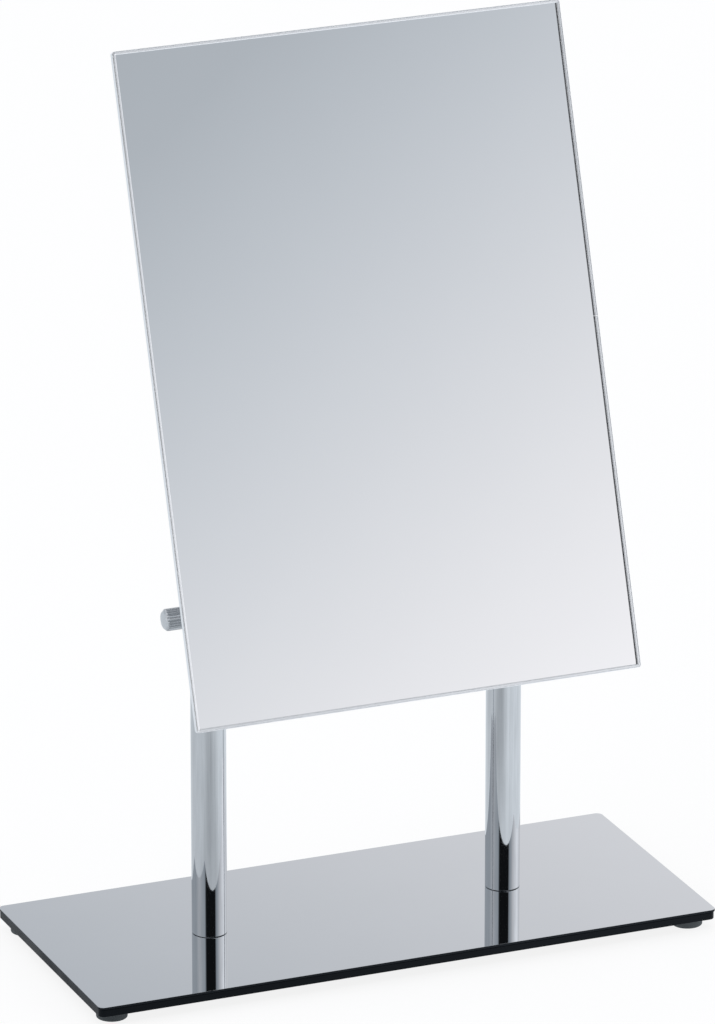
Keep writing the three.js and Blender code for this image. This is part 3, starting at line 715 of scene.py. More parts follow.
def rubber():
    """Grey moulded rubber with a dull bloom."""
    made, n = material("rubber")
    bloom = n.noise(3 * MM, detail=5, roughness=0.65)
    grain = n.noise(0.14 * MM, detail=3)
    n.surface(
        Base_Color=n.mix_colour(bloom, (0.040, 0.048, 0.052, 1), (0.085, 0.096, 0.100, 1)),
        Roughness=n.fade(bloom, 0.3, 0.8, 0.55, 0.75),
        Normal=n.bump(grain, 0.02 * MM),
    )
    return made


def plain_steel():
    """Zinc-plated steel, turned and tumbled."""
    made, n = material("plain_steel")
    blotches = n.noise(4 * MM, detail=4, roughness=0.6)
    brushed = n.noise(0.2 * MM, detail=2, stretch=(0.06, 1, 1))
    n.surface(
        Base_Color=n.mix_colour(blotches, (0.42, 0.43, 0.44, 1), (0.56, 0.57, 0.58, 1)),
        Metallic=1.0,
        Roughness=n.plus(n.fade(blotches, 0.3, 0.8, 0.22, 0.38), n.times(brushed, 0.08)),
        Normal=n.bump(brushed, 0.006 * MM),
    )
    return made


def turned_brass():
    made, n = material("turned_brass")
    blotches = n.noise(3 * MM, detail=4)
    turned = n.noise(0.15 * MM, detail=1, stretch=(1, 1, 6))
    n.surface(
        Base_Color=n.mix_colour(blotches, (0.52, 0.38, 0.13, 1), (0.68, 0.52, 0.22, 1)),
        Metallic=1.0,
        Roughness=n.fade(blotches, 0.3, 0.8, 0.22, 0.4),
        Normal=n.bump(turned, 0.005 * MM),
    )
    return made


def nylon(name, dark, light):
    """Moulded nylon, slightly mottled and slightly translucent in look."""
    made, n = material(name)
    mottle = n.noise(2.5 * MM, detail=4)
    grain = n.noise(0.12 * MM, detail=2)
    n.surface(
        Base_Color=n.mix_colour(mottle, dark, light),
        Roughness=n.fade(mottle, 0.3, 0.8, 0.38, 0.55),
        Subsurface_Weight=0.08,
        Subsurface_Radius=(0.6 * MM, 0.6 * MM, 0.6 * MM),
        Normal=n.bump(grain, 0.012 * MM),
    )
    return made


def grey_plastic():
    """The back cover: moulded plastic with a fine leather-like grain."""
    made, n = material("grey_plastic")
    grain = n.cells(0.55 * MM)
    fine = n.noise(0.2 * MM, detail=2)
    wash = n.noise(38 * MM, detail=4, roughness=0.6)
    n.surface(
        Base_Color=n.mix_colour(wash, (0.40, 0.415, 0.43, 1), (0.47, 0.485, 0.50, 1)),
        Roughness=n.fade(wash, 0.3, 0.8, 0.42, 0.56),
        Normal=n.bump(fine, 0.012 * MM, below=n.bump(grain, 0.05 * MM)),
    )
    return made


def foam():
    """Closed-cell foam with small pores."""
    made, n = material("foam")
    pores = n.cells(0.45 * MM)
    tone = n.noise(6 * MM, detail=4)
    n.surface(
        Base_Color=n.mix_colour(tone, (0.085, 0.09, 0.095, 1), (0.125, 0.13, 0.135, 1)),
        Roughness=n.fade(pores, 0.1, 0.6, 0.98, 0.85),
        Normal=n.bump(pores, 0.12 * MM),
    )
    return made


CHROME = chrome_plate()
SATIN = satin_chrome()
POLISHED = polished_steel()
BAND = satin_band()
SILVERED = silvered_glass()
BLACK = black_paint("black_paint", (0.0016, 0.0036, 0.0062, 1), (0.0040, 0.0066, 0.0100, 1))
# A lighter copy of the black paint for the base plate's sides: a painted highlight along the plate's edge.
LIT_EDGE_PAINT = black_paint("edge_paint_with_painted_highlight", (0.0080, 0.0110, 0.0150, 1), (0.0130, 0.0170, 0.0220, 1))
RUBBER = rubber()
STEEL = plain_steel()
BRASS = turned_brass()
WHITE_NYLON = nylon("white_nylon", (0.70, 0.69, 0.64, 1), (0.80, 0.79, 0.75, 1))
BLACK_NYLON = nylon("black_nylon", (0.012, 0.013, 0.014, 1), (0.024, 0.025, 0.027, 1))
PLASTIC = grey_plastic()
FOAM = foam()


# ==== Places ====
def shift(x=0.0, y=0.0, z=0.0):
    return Matrix.Translation((x, y, z))


def turn(degrees, axis):
    return Matrix.Rotation(math.radians(degrees), 4, axis)


def middle(node):
    low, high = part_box(node)
    return (low + high) / 2


def size_of(node, place):
    """Lowest and highest corner of a CAD node, in the frame that place puts into the row frame."""
    inverse = place.inverted()
    points = [inverse @ vertex.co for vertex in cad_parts[node].data.vertices]
    low = Vector([min(point[axis] for point in points) for axis in range(3)])
    high = Vector([max(point[axis] for point in points) for axis in range(3)])
    return low, high


def post_place(side):
    centre = middle(f"outer_tube_{side}")
    return shift(centre.x, centre.y)


def mirror_place():
    """The mirror head's own frame: origin on the hinge axis, X along it, Y through the pane."""
    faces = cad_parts["mirror_glass"].data.polygons
    front = max((face for face in faces if face.normal.y < 0), key=lambda face: face.area)
    tilt = math.atan2(front.normal.z, -front.normal.y)
    return Matrix.Translation(middle("crossbar")) @ Matrix.Rotation(-tilt, 4, "X")


BASE = shift(middle("base_top_plate").x, middle("base_top_plate").y)
MIRROR = mirror_place()
HINGE = Matrix.Translation(middle("crossbar"))
ALONG_X = turn(90, "Y")
ALONG_MINUS_X = turn(-90, "Y")
ALONG_Y = turn(-90, "X")
CLAMP = shift(middle("outer_tube_left").x, middle("clamp_knob").y, middle("clamp_knob").z) @ ALONG_MINUS_X


def piece(node, mesh, place, body, slot, finish, edge=None):
    """A finished piece that stands for one CAD node and moves with its body."""
    mesh.materials.clear()
    mesh.materials.append(finish)
    mesh.shade_smooth()
    made = bpy.data.objects.new(f"fine_{node}", mesh)
    bpy.context.scene.collection.objects.link(made)
    made.matrix_world = place
    if edge:
        bevel = made.modifiers.new("soft_edges", "BEVEL")
        bevel.width = edge
        bevel.segments = 2
        bevel.limit_method = "ANGLE"
        bevel.angle_limit = SHARP_ANGLE
    else:
        mesh.set_sharp_from_angle(angle=SHARP_ANGLE)
    normals = made.modifiers.new("even_normals", "WEIGHTED_NORMAL")
    normals.keep_sharp = True
    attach(made, body)
    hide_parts(node)
    return made


def fitted(node, make, place, *rest):
    """A piece whose mesh is made from its CAD node's lowest and highest corners."""
    return piece(node, make(*size_of(node, place)), place, *rest)


# ==== Base ====
def screw_holes():
    centres = [BASE.inverted() @ middle(f"outer_tube_{side}") for side, _ in SIDES]
    return [(centre.x, centre.y, SCREW_HOLE) for centre in centres]


def add_base():
    # The plate's sides take the lighter copy of the black paint, which paints a highlight on the plate's
    # edge; the weight's sides take the plain black paint.
    for node, rounding, slot, finish, side_finish in (
        ("base_top_plate", PLATE_EDGE, "polished_plate", POLISHED, LIT_EDGE_PAINT),
        ("base_weight", WEIGHT_EDGE, "black_paint", BLACK, BLACK),
    ):
        low, high = size_of(node, BASE)
        outline = inset_outline(high.x - low.x, high.y - low.y, BASE_CORNER)
        mesh = slab(outline, edge_levels(low.z, high.z, rounding), screw_holes())
        base_piece = piece(node, mesh, BASE, "stand", slot, finish)
        base_piece.data.materials.append(side_finish)
        for face in base_piece.data.polygons:
            face.material_index = int(abs(face.normal.z) < PAINTED_SLOPE)
    for corner in ("front_left", "front_right", "back_left", "back_right"):
        node = f"foot_{corner}"
        place = shift(middle(node).x, middle(node).y)
        low, high = size_of(node, place)
        piece(node, foot(high.x, high.z), place, "stand", "rubber", RUBBER)


def foot(radius, height):
    """A domed rubber foot with a shallow dish in the face that it stands on."""
    dish = FOOT_RECESS_RADIUS
    return loft(filleted([
        (0, FOOT_RECESS_DEPTH, 0), (dish - FOOT_RECESS_DEPTH, FOOT_RECESS_DEPTH, FOOT_DISH_EDGE),
        (dish, 0, FOOT_DISH_EDGE), (radius - FOOT_TAPER, 0, FOOT_EDGE),
        (radius, height, FOOT_BACK_EDGE), (0, height, 0),
    ]))


# ==== Posts: fixed half ====
def post_screw(low, high):
    """A cap screw with its head down, rounded in two steps."""
    head = high.x
    under_head = low.z + POST_SCREW_HEAD
    socket = hexagon(POST_SOCKET)
    socket_floor = low.z + POST_SOCKET_DEPTH
    small, large = POST_SCREW_EDGES
    return loft([
        (0, socket_floor), (socket, socket_floor), (socket, low.z + small),
        (POST_SOCKET_RIM, low.z), (head - large, low.z), (head - small, low.z + small),
        (head, low.z + large), (head, under_head - SOCKET_EDGE), (head - SOCKET_EDGE, under_head),
        *thread_rings(M4_RADIUS, M4_PITCH, under_head, high.z - SCREW_EDGE),
        (M4_RADIUS / 2, high.z), (0, high.z),
    ])


def add_fixed_posts():
    for side, _ in SIDES:
        place = post_place(side)
        fitted(f"post_screw_{side}", post_screw, place, "stand", "plain_steel", STEEL)
        low, high = size_of(f"post_washer_{side}", place)
        washer = sleeve(SCREW_HOLE, high.x, low.z, high.z, WASHER_EDGE)
        piece(f"post_washer_{side}", washer, place, "stand", "plain_steel", STEEL)
        fitted(f"tube_plug_{side}", tube_plug, place, "stand", "plain_steel", STEEL)
        low, high = size_of(f"outer_tube_{side}", place)
        tube = sleeve(high.y - OUTER_TUBE_WALL, high.y, low.z, high.z, TUBE_EDGE)
        if side == "left":
            window = moved(rod(BOSS_SHANK + WALL_GAP, 0, WINDOW_REACH, 0.0, SMALL_STEPS), ALONG_MINUS_X)
            tube = combine(tube, moved(window, shift(z=CLAMP.translation.z)))
        piece(f"outer_tube_{side}", tube, place, "stand", "chrome", CHROME)
        fitted(f"guide_collar_{side}", guide_collar, place, "stand", "chrome", CHROME)


def tube_plug(low, high):
    """A steel plug with a tapped hole that takes the post screw."""
    cap = high.z - PLUG_CAP
    return loft(filleted([
        (PLUG_BORE, low.z, PLUG_BORE_EDGE), (high.x, low.z, PLUG_FOOT_EDGE), (high.x, high.z, PLUG_TOP_EDGE),
        (0, high.z, 0), (0, cap, 0), (PLUG_BORE, cap, 0),
    ]), hollow=True)


def guide_collar(low, high):
    """A sleeve in the outer tube's top, with a flange on its rim, that guides the inner tube."""
    bore = INNER_TUBE_RADIUS + COLLAR_BORE_GAP
    flange = high.z - GUIDE_FLANGE
    return loft(filleted([
        (bore, low.z, GUIDE_BOTTOM_EDGE), (GUIDE_SLEEVE, low.z, GUIDE_SLEEVE_EDGE),
        (GUIDE_SLEEVE, flange, 0), (high.x, flange, GUIDE_FLANGE_EDGE), (high.x, high.z, GUIDE_TOP_EDGE),
        (bore, high.z, GUIDE_SLEEVE_EDGE),
    ], closed=True), hollow=True)


# ==== Height clamp ====
def add_clamp():
    low, high = size_of("clamp_boss", CLAMP)
    piece("clamp_boss", clamp_boss(high), CLAMP, "stand", "brass", BRASS)
    low, high = size_of("clamp_screw", CLAMP)
    screw = loft([*small_shank(low.z, high.z), (0, high.z)], SMALL_STEPS)
    piece("clamp_screw", screw, CLAMP, "knob", "plain_steel", STEEL)
    low, high = size_of("clamp_pad", CLAMP)
    pad = centred_rod(high.x, low.z, high.z, PAD_EDGE, PAD_DIMPLE, SMALL_STEPS)
    piece("clamp_pad", pad, CLAMP, "pad", "white_nylon", WHITE_NYLON)
    fitted("clamp_knob", clamp_knob, CLAMP, "knob", "chrome", SATIN)


def clamp_boss(high):
    """A bush in the tube's window, its flange shaped to sit on the round tube."""
    seat = high.z - BOSS_FLANGE_THICKNESS
    blank = loft(filleted([
        (BOSS_BORE, 0, 0), (BOSS_SHANK, 0, 0), (BOSS_SHANK, seat - BOSS_SADDLE, 0),
        (high.x, seat - BOSS_SADDLE, 0), (high.x, high.z, BOSS_FLANGE_EDGE),
        (BOSS_BORE, high.z, BOSS_BORE_EDGE),
    ], closed=True), hollow=True)
    bore_side = moved(rod(CLEAR_OF_TUBE_BORE, -TOOL_REACH, TOOL_REACH, 0.0), ALONG_X.inverted())
    wall = moved(sleeve(TUBE_BORE, seat, -TOOL_REACH, TOOL_REACH, 0.0), ALONG_X.inverted())
    core = rod(BOSS_SHANK, 0, WINDOW_REACH, 0.0)
    return combine(combine(blank, bore_side), combine(wall, core))


def clamp_knob(low, high):
    """A straight-knurled knob with a bevelled, slightly domed end. Its teeth run out at both ends."""
    radius = max(high.x, -low.x)

    def toothed(outer, share):
        depth = KNOB_TOOTH_DEPTH * share

        def at_angle(angle):
            wave = 0.5 + 0.5 * math.cos(KNOB_TEETH * angle)
            return outer - depth * wave ** KNOB_TOOTH_SHARPNESS

        return at_angle

    inner, end = low.z, high.z
    shoulder = end - KNOB_DOME - KNOB_BEVEL
    rim = radius - KNOB_BEVEL
    shares = [step / DOME_STEPS for step in range(DOME_STEPS, 0, -1)]
    dome = [(rim * share, end - KNOB_DOME * share ** 2) for share in shares]
    back = inner + KNOB_BACK_EDGE
    more_taper, less_taper = KNOB_BACK_TAPERS
    return loft([
        (KNOB_BORE, inner + KNOB_SOCKET_DEPTH), (KNOB_BORE, back), (KNOB_BORE + KNOB_BACK_EDGE, inner),
        (radius - more_taper, inner), (toothed(radius - less_taper, 0.3), back),
        (toothed(radius, 1), inner + KNOB_RUN_IN), (toothed(radius, 1), shoulder - KNOB_SOFTENING),
        (toothed(radius - KNOB_SOFT_DROP, 0.8), shoulder + KNOB_SOFTENING),
        (toothed(radius - KNOB_RUN_OUT, 0), shoulder + KNOB_RUN_OUT),
        (rim + KNOB_SOFT_DROP, end - KNOB_DOME - KNOB_SOFTENING), *dome, (0, end),
    ], KNOB_STEPS)


# ==== Posts: lifting half ====
def add_lift():
    for side, sign in SIDES:
        place = post_place(side)
        low, high = size_of(f"inner_tube_{side}", place)
        tube = sleeve(high.x - INNER_TUBE_WALL, high.x, low.z, high.z, TUBE_EDGE)
        piece(f"inner_tube_{side}", tube, place, "lift", "chrome", CHROME)
        fitted(f"slide_foot_{side}", slide_foot, place, "lift", "black_nylon", BLACK_NYLON)
        head_place = shift(place.translation.x, place.translation.y, HINGE.translation.z)
        low, high = size_of(f"post_head_{side}", head_place)
        piece(f"post_head_{side}", post_head(low, high, -sign), head_place, "lift", "chrome", CHROME)
        add_grub_screw(f"head_grub_screw_{side}", head_place)
        washer = f"spring_washer_{side}"
        washer_place = shift(middle(washer).x, middle(washer).y, middle(washer).z) @ ALONG_X
        low, high = size_of(washer, washer_place)
        piece(washer, spring_washer(high), washer_place, "lift", "plain_steel", STEEL)
        collar = f"hinge_collar_{side}"
        collar_place = Matrix.Translation(middle(collar))
        low, high = size_of(collar, collar_place @ ALONG_X)
        body = sleeve(HINGE_BORE, high.x, low.z, high.z, TUBE_EDGE)
        body = combine(body, moved(rod(GRUB_HOLE, 0, TOOL_REACH, 0.0, SMALL_STEPS), ALONG_Y))
        piece(collar, body, collar_place @ ALONG_X, "lift", "chrome", CHROME)
        add_grub_screw(f"collar_grub_screw_{side}", collar_place)
    low, high = size_of("crossbar", HINGE @ ALONG_X)
    bar = centred_rod(CROSSBAR_RADIUS, low.z, high.z, TUBE_EDGE, BAR_CENTRE_HOLE)
    piece("crossbar", bar, HINGE @ ALONG_X, "lift", "chrome", CHROME)


def slide_foot(low, high):
    """The nylon foot in the inner tube's lower end, with two grease grooves."""
    shoulder = low.z + SLIDE_FOOT_SHOULDER
    grooves = []
    for up in GROOVES_UP_THE_FOOT:
        start = low.z + up
        end = start + GROOVE_WIDTH
        grooves += [
            (high.x, start, GROOVE_EDGE), (high.x - GROOVE_DEPTH, start + GROOVE_SLOPE, GROOVE_EDGE),
            (high.x - GROOVE_DEPTH, end - GROOVE_SLOPE, GROOVE_EDGE), (high.x, end, GROOVE_EDGE),
        ]
    return loft(filleted([
        (0, low.z, 0), (high.x, low.z, SLIDE_FOOT_EDGE), *grooves, (high.x, shoulder, WASHER_EDGE),
        (SLIDE_FOOT_STEM, shoulder, 0), (SLIDE_FOOT_STEM, high.z, SLIDE_STEM_EDGE), (0, high.z, 0),
    ]))


def post_head(low, high, towards_middle):
    """A cap on the inner tube with a bore for the crossbar and a tapped hole for its grub screw."""
    body = loft(filleted([
        (0, low.z, 0), (HEAD_STEM_RADIUS, low.z, HEAD_STEM_EDGE), (HEAD_STEM_RADIUS, -high.z, 0),
        (high.x, -high.z, TUBE_EDGE), (high.x, high.z, HEAD_EDGE), (0, high.z, 0),
    ]))
    bore = rod(HINGE_BORE, -HEAD_BORE_PAST_MIDDLE, TOOL_REACH, 0.0)
    bore = moved(bore, ALONG_X if towards_middle > 0 else ALONG_MINUS_X)
    screw_hole = moved(rod(GRUB_HOLE, 0, TOOL_REACH, 0.0, SMALL_STEPS), ALONG_Y)
    return combine(combine(body, bore), screw_hole)


def add_grub_screw(node, place):
    upright = place @ ALONG_Y
    low, high = size_of(node, upright)
    socket = hex_socket(high.z, GRUB_SOCKET, GRUB_SOCKET_RIM, GRUB_SOCKET_DEPTH)
    screw = loft([*small_shank(low.z, high.z), *socket], SMALL_STEPS)
    piece(node, screw, upright, "lift", "plain_steel", STEEL)


def spring_washer(high):
    """A wave washer of thin spring steel, whose waves fill the washer's height."""
    wave = high.z - WASHER_SHEET / 2

    def face(offset):
        return lambda angle: offset + wave * math.cos(WASHER_WAVES * angle)

    half = WASHER_SHEET / 2
    inner, outer = HINGE_BORE, high.x
    return loft([
        (inner, face(-half)), (outer - WASHER_ROUND, face(-half)), (outer, face(0)),
        (outer - WASHER_ROUND, face(half)), (inner, face(half)),
    ], hollow=True)


# ==== Mirror head ====
def add_mirror():
    place = MIRROR @ ALONG_Y
    fitted("frame_band", frame_band, MIRROR, "mirror", "chrome", BAND)
    glass = flat_piece("mirror_glass", GLASS_CORNER, GLASS_EDGE)
    piece("mirror_glass", glass, place, "mirror", "mirror_silver", SILVERED)
    pad = flat_piece("foam_pad", COVER_RECESS_CORNER, FOAM_EDGE)
    piece("foam_pad", pad, place, "mirror", "foam", FOAM)
    low, high = size_of("back_cover", MIRROR)
    piece("back_cover", back_cover(low, high), place, "mirror", "grey_plastic", PLASTIC)
    fitted("hinge_plate", hinge_plate, MIRROR, "mirror", "plain_steel", STEEL, PLATE_SHEET_EDGE)
    for side, sign in SIDES:
        node = f"hinge_bush_{side}"
        bush_place = shift(middle(node).x, MIRROR.translation.y, MIRROR.translation.z)
        upright = bush_place @ (ALONG_X if sign > 0 else ALONG_MINUS_X)
        fitted(node, hinge_bush, upright, "mirror", "white_nylon", WHITE_NYLON)
    for number in HINGE_SCREWS:
        add_hinge_screw(f"hinge_screw_{number}")


def flat_piece(node, corner, edge):
    """A flat rectangle behind the lip, with round corners and soft edges."""
    low, high = size_of(node, MIRROR)
    return slab(inset_outline(high.x - low.x, high.z - low.z, corner), edge_levels(low.y, high.y, edge))


def frame_band(low, high):
    """A bent strip whose lip laps the glass, with a fine line pressed into the lip.

    Its two ends meet a little above the right side's middle.
    """
    width, height = high.x - low.x, high.z - low.z
    depth = high.y - low.y
    section = filleted([
        (0, depth, BAND_BACK_EDGE), (0, 0, LIP_CREST), (LIP_LINE, 0, LIP_LINE_ROUND),
        (LIP_LINE + LIP_LINE_WIDTH / 2, LIP_LINE_DEPTH, LIP_LINE_ROUND),
        (LIP_LINE + LIP_LINE_WIDTH, 0, LIP_LINE_ROUND), (LIP_WIDTH, LIP_SLOPE_DROP, LIP_INNER_ROUND),
        (LIP_WIDTH, LIP_THICKNESS, LIP_BACK_ROUND), (BAND_WALL, LIP_THICKNESS, 0),
        (BAND_WALL, depth, BAND_BACK_EDGE),
    ], closed=True)
    outline = inset_outline(width, height, FRAME_CORNER)
    inner_outline = inset_outline(width, height, LIP_WIDTH + FRAME_INNER_CORNER)
    shape = bmesh.new()
    joint_bottom = BAND_JOINT_ABOVE_MIDDLE - BAND_JOINT_GAP / 2
    joint_top = BAND_JOINT_ABOVE_MIDDLE + BAND_JOINT_GAP / 2
    rows = []
    for inset, back in section:
        share = min(1.0, inset / LIP_WIDTH)
        soft = [
            (a[0] * (1 - share) + b[0] * share, a[1] * (1 - share) + b[1] * share)
            for a, b in zip(outline(inset), inner_outline(inset))
        ]
        side = width / 2 - inset
        path = [(side, joint_top), *soft, (side, joint_bottom)]
        rows.append([shape.verts.new((x, low.y + back, z)) for x, z in path])
    for first, second in zip(rows, rows[1:] + rows[:1]):
        for i in range(len(first) - 1):
            shape.faces.new([first[i], first[i + 1], second[i + 1], second[i]])
    for end in (0, -1):
        shape.faces.new([row[end] for row in rows])
    return to_mesh(shape)


def back_cover(low, high):
    """The moulded cover: sloping sides with soft edges, and a recess in front for the foam pad."""
    width, height = high.x - low.x, high.z - low.z
    front, back = low.y, high.y
    profile = filleted([
        (1, front, 0), (0, front, COVER_FRONT_EDGE), (0, back - COVER_BEVEL, COVER_ROUND),
        (COVER_BEVEL, back, COVER_ROUND), (1, back, 0),
    ])
    cover = slab(inset_outline(width, height, COVER_CORNER), profile[1:-1])
    borders = 2 * COVER_RECESS_BORDER
    recess = slab(
        inset_outline(width - borders, height - borders, COVER_RECESS_CORNER),
        [(0, front - PAST_THE_FACE), (0, front + COVER_RECESS_DEPTH)],
    )
    cover = combine(cover, recess)
    for number in HINGE_SCREWS:
        centre = (MIRROR @ ALONG_Y).inverted() @ middle(f"hinge_screw_{number}")
        hole = rod(GRUB_HOLE, back - COVER_HOLE_DEPTH, back + TOOL_REACH, 0.0, SMALL_STEPS)
        cover = combine(cover, moved(hole, shift(centre.x, centre.y)))
    return cover


def hinge_plate(low, high):
    """A steel plate with two ears that hold the hinge bushes."""
    front = low.y
    holes = []
    for number in HINGE_SCREWS:
        centre = MIRROR.inverted() @ middle(f"hinge_screw_{number}")
        holes.append((centre.x, -centre.z, PLATE_HOLE))
    outline = inset_outline(high.x - low.x, PLATE_HEIGHT, PLATE_CORNER)
    plate = slab(outline, [(0, front), (0, front + PLATE_SHEET)], holes)
    plate = moved(plate, ALONG_Y)
    for _, sign in SIDES:
        ear = hinge_ear(front + PLATE_SHEET / 2, high.y)
        plate = combine(plate, moved(ear, shift(x=sign * EAR_FROM_MIDDLE)), "UNION")
    return plate


def hinge_ear(root, radius):
    """A tab in the YZ plane that ends in a half circle about the hinge axis."""
    half = EAR_THICKNESS / 2
    angles = [math.pi * step / EAR_STEPS for step in range(EAR_STEPS + 1)]
    arc = [(-radius * math.cos(angle), radius * math.sin(angle)) for angle in angles]
    outline = [(-radius, root), *arc, (radius, root)]
    shape = bmesh.new()
    rows = [[shape.verts.new((x, y, z)) for z, y in outline] for x in (-half, half)]
    join_rows(shape, rows)
    for row in rows:
        shape.faces.new(row)
    ear = to_mesh(shape)
    return combine(ear, moved(rod(EAR_BORE, -EAR_THICKNESS, EAR_THICKNESS, 0.0), ALONG_X))


def hinge_bush(low, high):
    """A flanged nylon bush, with its flange on the side of the ear that faces the middle."""
    flange = low.z + BUSH_FLANGE
    return loft(filleted([
        (HINGE_BORE, low.z, BUSH_BORE_EDGE), (high.x, low.z, BUSH_EDGE), (high.x, flange, BUSH_FLANGE_EDGE),
        (BUSH_BARREL, flange, 0), (BUSH_BARREL, high.z, BUSH_EDGE), (HINGE_BORE, high.z, BUSH_BORE_EDGE),
    ], closed=True), hollow=True)


def add_hinge_screw(node):
    """A button-head socket screw."""
    centre = MIRROR.inverted() @ middle(node)
    place = MIRROR @ shift(centre.x, 0, centre.z) @ ALONG_Y
    low, high = size_of(node, place)
    head, top = high.x, high.z
    seat = top - BUTTON_HEAD
    rim = seat + BUTTON_RIM
    socket = hex_socket(top, BUTTON_SOCKET, BUTTON_SOCKET_RIM, BUTTON_SOCKET_DEPTH)
    angles = [BUTTON_ARC * step / BUTTON_STEPS for step in range(BUTTON_STEPS + 1)]
    crown = [(head * math.cos(a), rim + (top - rim) * math.sin(a) / math.sin(BUTTON_ARC)) for a in angles]
    mesh = loft([
        *small_shank(low.z, seat), (head - SOCKET_EDGE, seat), (head, seat + SOCKET_EDGE), *crown, *socket,
    ], SMALL_STEPS)
    piece(node, mesh, place, "mirror", "plain_steel", STEEL)


# ==== Studio ====
def add_floor():
    shape = bmesh.new()
    bmesh.ops.create_circle(shape, cap_ends=True, segments=FLOOR_STEPS, radius=FLOOR_RADIUS)
    mesh = to_mesh(shape)
    mesh.materials.append(floor_finish())
    floor = bpy.data.objects.new("floor", mesh)
    floor.location.z = -FLOOR_DROP
    bpy.context.scene.collection.objects.link(floor)


def floor_finish():
    """A white sheet. What it gives to reflections is painted light and shade: painted shade that falls off
    to the left, and a painted shadow in a patch in front.
    """
    made, n = material("floor")
    place = n.add("ShaderNodeSeparateXYZ")
    n.feed(place.inputs[0], n.add("ShaderNodeTexCoord").outputs["Object"])
    x, y, _ = place.outputs

    # Painted shadow: a patch in front of the object that reflections see darker.
    across = n.times(n.plus(x, -PAINTED_SHADOW_CENTRE[0]), 1 / PAINTED_SHADOW_RADII[0])
    along = n.times(n.plus(y, -PAINTED_SHADOW_CENTRE[1]), 1 / PAINTED_SHADOW_RADII[1])
    from_painted_shadow = n.maths("SQRT", n.plus(n.times(across, across), n.times(along, along)))
    # Painted shade: the glow falls off to the left and is darkened by the painted shadow patch.
    level = n.times(n.fade(x, *FLOOR_PAINTED_SIDE_SHADE), n.fade(from_painted_shadow, *PAINTED_SHADOW_FADE))
    glow = n.times(level, FLOOR_GLOW_REFLECTED)
    reflected = sheet_shader(n, grey(FLOOR_SHEET, 0.05), glow, grey(1.0, 0.05))
    seen = sheet_shader(n, grey(FLOOR_SHEET), FLOOR_GLOW_SEEN, grey(1.0))
    mixed = n.add("ShaderNodeMixShader")
    n.feed(mixed.inputs[0], n.add("ShaderNodeLightPath").outputs["Is Camera Ray"])
    n.feed(mixed.inputs[1], reflected)
    n.feed(mixed.inputs[2], seen)
    output = n.add("ShaderNodeOutputMaterial")
    n.feed(output.inputs["Surface"], mixed.outputs[0])
    return made


def sheet_shader(n, own_colour, strength, glow_colour):
    """Part diffuse, part glow."""
    diffuse = n.add("ShaderNodeBsdfDiffuse")
    n.feed(diffuse.inputs["Color"], own_colour)
    glow = n.add("ShaderNodeEmission")
    n.feed(glow.inputs["Color"], glow_colour)
    n.feed(glow.inputs["Strength"], strength)
    both = n.add("ShaderNodeAddShader")
    n.feed(both.inputs[0], diffuse.outputs[0])
    n.feed(both.inputs[1], glow.outputs[0])
    return both.outputs[0]


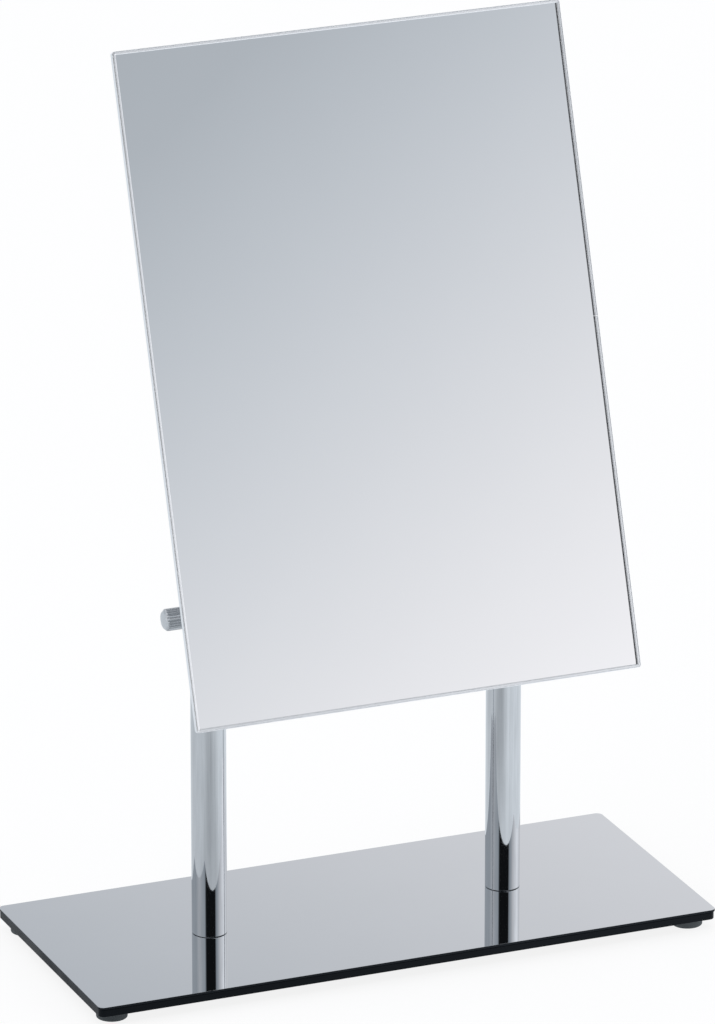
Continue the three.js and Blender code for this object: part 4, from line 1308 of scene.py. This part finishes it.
def add_world():
    """A soft white studio, as levels of light by direction.

    Angles are in degrees: azimuth from the front towards +X, height from the horizon.
    """
    world = bpy.data.worlds.new("studio")
    bpy.context.scene.world = world
    n = Nodes(world)
    direction = n.add("ShaderNodeSeparateXYZ")
    n.feed(direction.inputs[0], n.add("ShaderNodeTexCoord").outputs["Generated"])
    x, y, z = direction.outputs
    degrees = 180 / math.pi
    azimuth = n.times(n.maths("ARCTAN2", x, n.times(y, -1.0)), degrees)
    from_back = n.times(n.maths("ARCTAN2", x, y), degrees)
    height = n.times(n.maths("ARCSINE", z), degrees)

    # The large soft box at the front right. Low down its light falls off upwards and towards the
    # middle. Higher up it has a clear left edge.
    low_part = n.ramp((azimuth, height), BOX_CENTRE, BOX_LOW_LEVEL, BOX_LOW_SLOPES)
    glow = n.plus(n.times(low_part, BOX_GLOW_SHARE), BOX_GLOW_LEVEL)
    low_part = n.maths("MAXIMUM", low_part, n.times(n.fade(azimuth, *BOX_GLOW_EDGE), glow))
    high_part = n.plus(n.slope(azimuth, BOX_CENTRE[0], BOX_HIGH_SLOPE), BOX_HIGH_LEVEL)
    high_part = n.times(n.fade(azimuth, *BOX_HIGH_EDGE), high_part)
    high_part = n.times(high_part, n.fade(height, *BOX_TOP_FADE))
    box = n.mix(n.fade(height, *BOX_LOW_TO_HIGH), low_part, high_part)
    box = n.clamp(box, BOX_DARKEST, n.fade(height, *BOX_BRIGHTEST_FADE))

    left = n.plus(n.fade(azimuth, *LEFT_SIDE_FADE), n.fade(height, *LEFT_FOOT_FADE))
    front = n.mix(n.fade(azimuth, *LEFT_TO_BOX), left, box)
    back = n.ramp((from_back, height), BACK_CENTRE, BACK_LEVEL, BACK_SLOPES)
    back = n.clamp(back, *BACK_RANGE)
    around = n.mix(n.fade(n.maths("ABSOLUTE", azimuth), *FRONT_TO_BACK), front, back)
    level = n.mix(n.fade(height, *TO_OVERHEAD), around, OVERHEAD_LEVEL)
    level = n.mix(n.fade(height, *GROUND_TO_SKY), GROUND_LEVEL, level)

    light = n.add("ShaderNodeBackground")
    warmer = n.fade(level, *SHADE_TO_LIGHT)
    red = n.times(level, n.mix(warmer, *RED_SHARES))
    blue = n.times(level, n.mix(warmer, *BLUE_SHARES))
    n.feed(light.inputs["Color"], n.colour(red, level, blue))
    backdrop = n.add("ShaderNodeBackground")
    n.feed(backdrop.inputs["Color"], grey(1.0))
    seen = n.add("ShaderNodeMixShader")
    n.feed(seen.inputs[0], n.add("ShaderNodeLightPath").outputs["Is Camera Ray"])
    n.feed(seen.inputs[1], light.outputs[0])
    n.feed(seen.inputs[2], backdrop.outputs[0])
    output = n.add("ShaderNodeOutputWorld")
    n.feed(output.inputs["Surface"], seen.outputs[0])


def add_camera():
    centre = (cad_box[0] + cad_box[1]) / 2
    aim = centre + CAMERA_AIM_FROM_CENTRE
    away = Vector((
        math.sin(CAMERA_AZIMUTH) * math.cos(CAMERA_ELEVATION),
        -math.cos(CAMERA_AZIMUTH) * math.cos(CAMERA_ELEVATION),
        math.sin(CAMERA_ELEVATION),
    ))
    data = bpy.data.cameras.new("camera")
    data.lens = CAMERA_LENS
    data.clip_end = CAMERA_CLIP_END
    camera = bpy.data.objects.new("camera", data)
    camera.location = aim + away * CAMERA_DISTANCE
    camera.rotation_euler = (-away).to_track_quat("-Z", "Y").to_euler()
    bpy.context.scene.collection.objects.link(camera)
    bpy.context.scene.camera = camera


add_base()
add_fixed_posts()
add_clamp()
add_lift()
add_mirror()
add_floor()
add_world()
add_camera()
bpy.context.scene.view_settings.view_transform = "Standard"
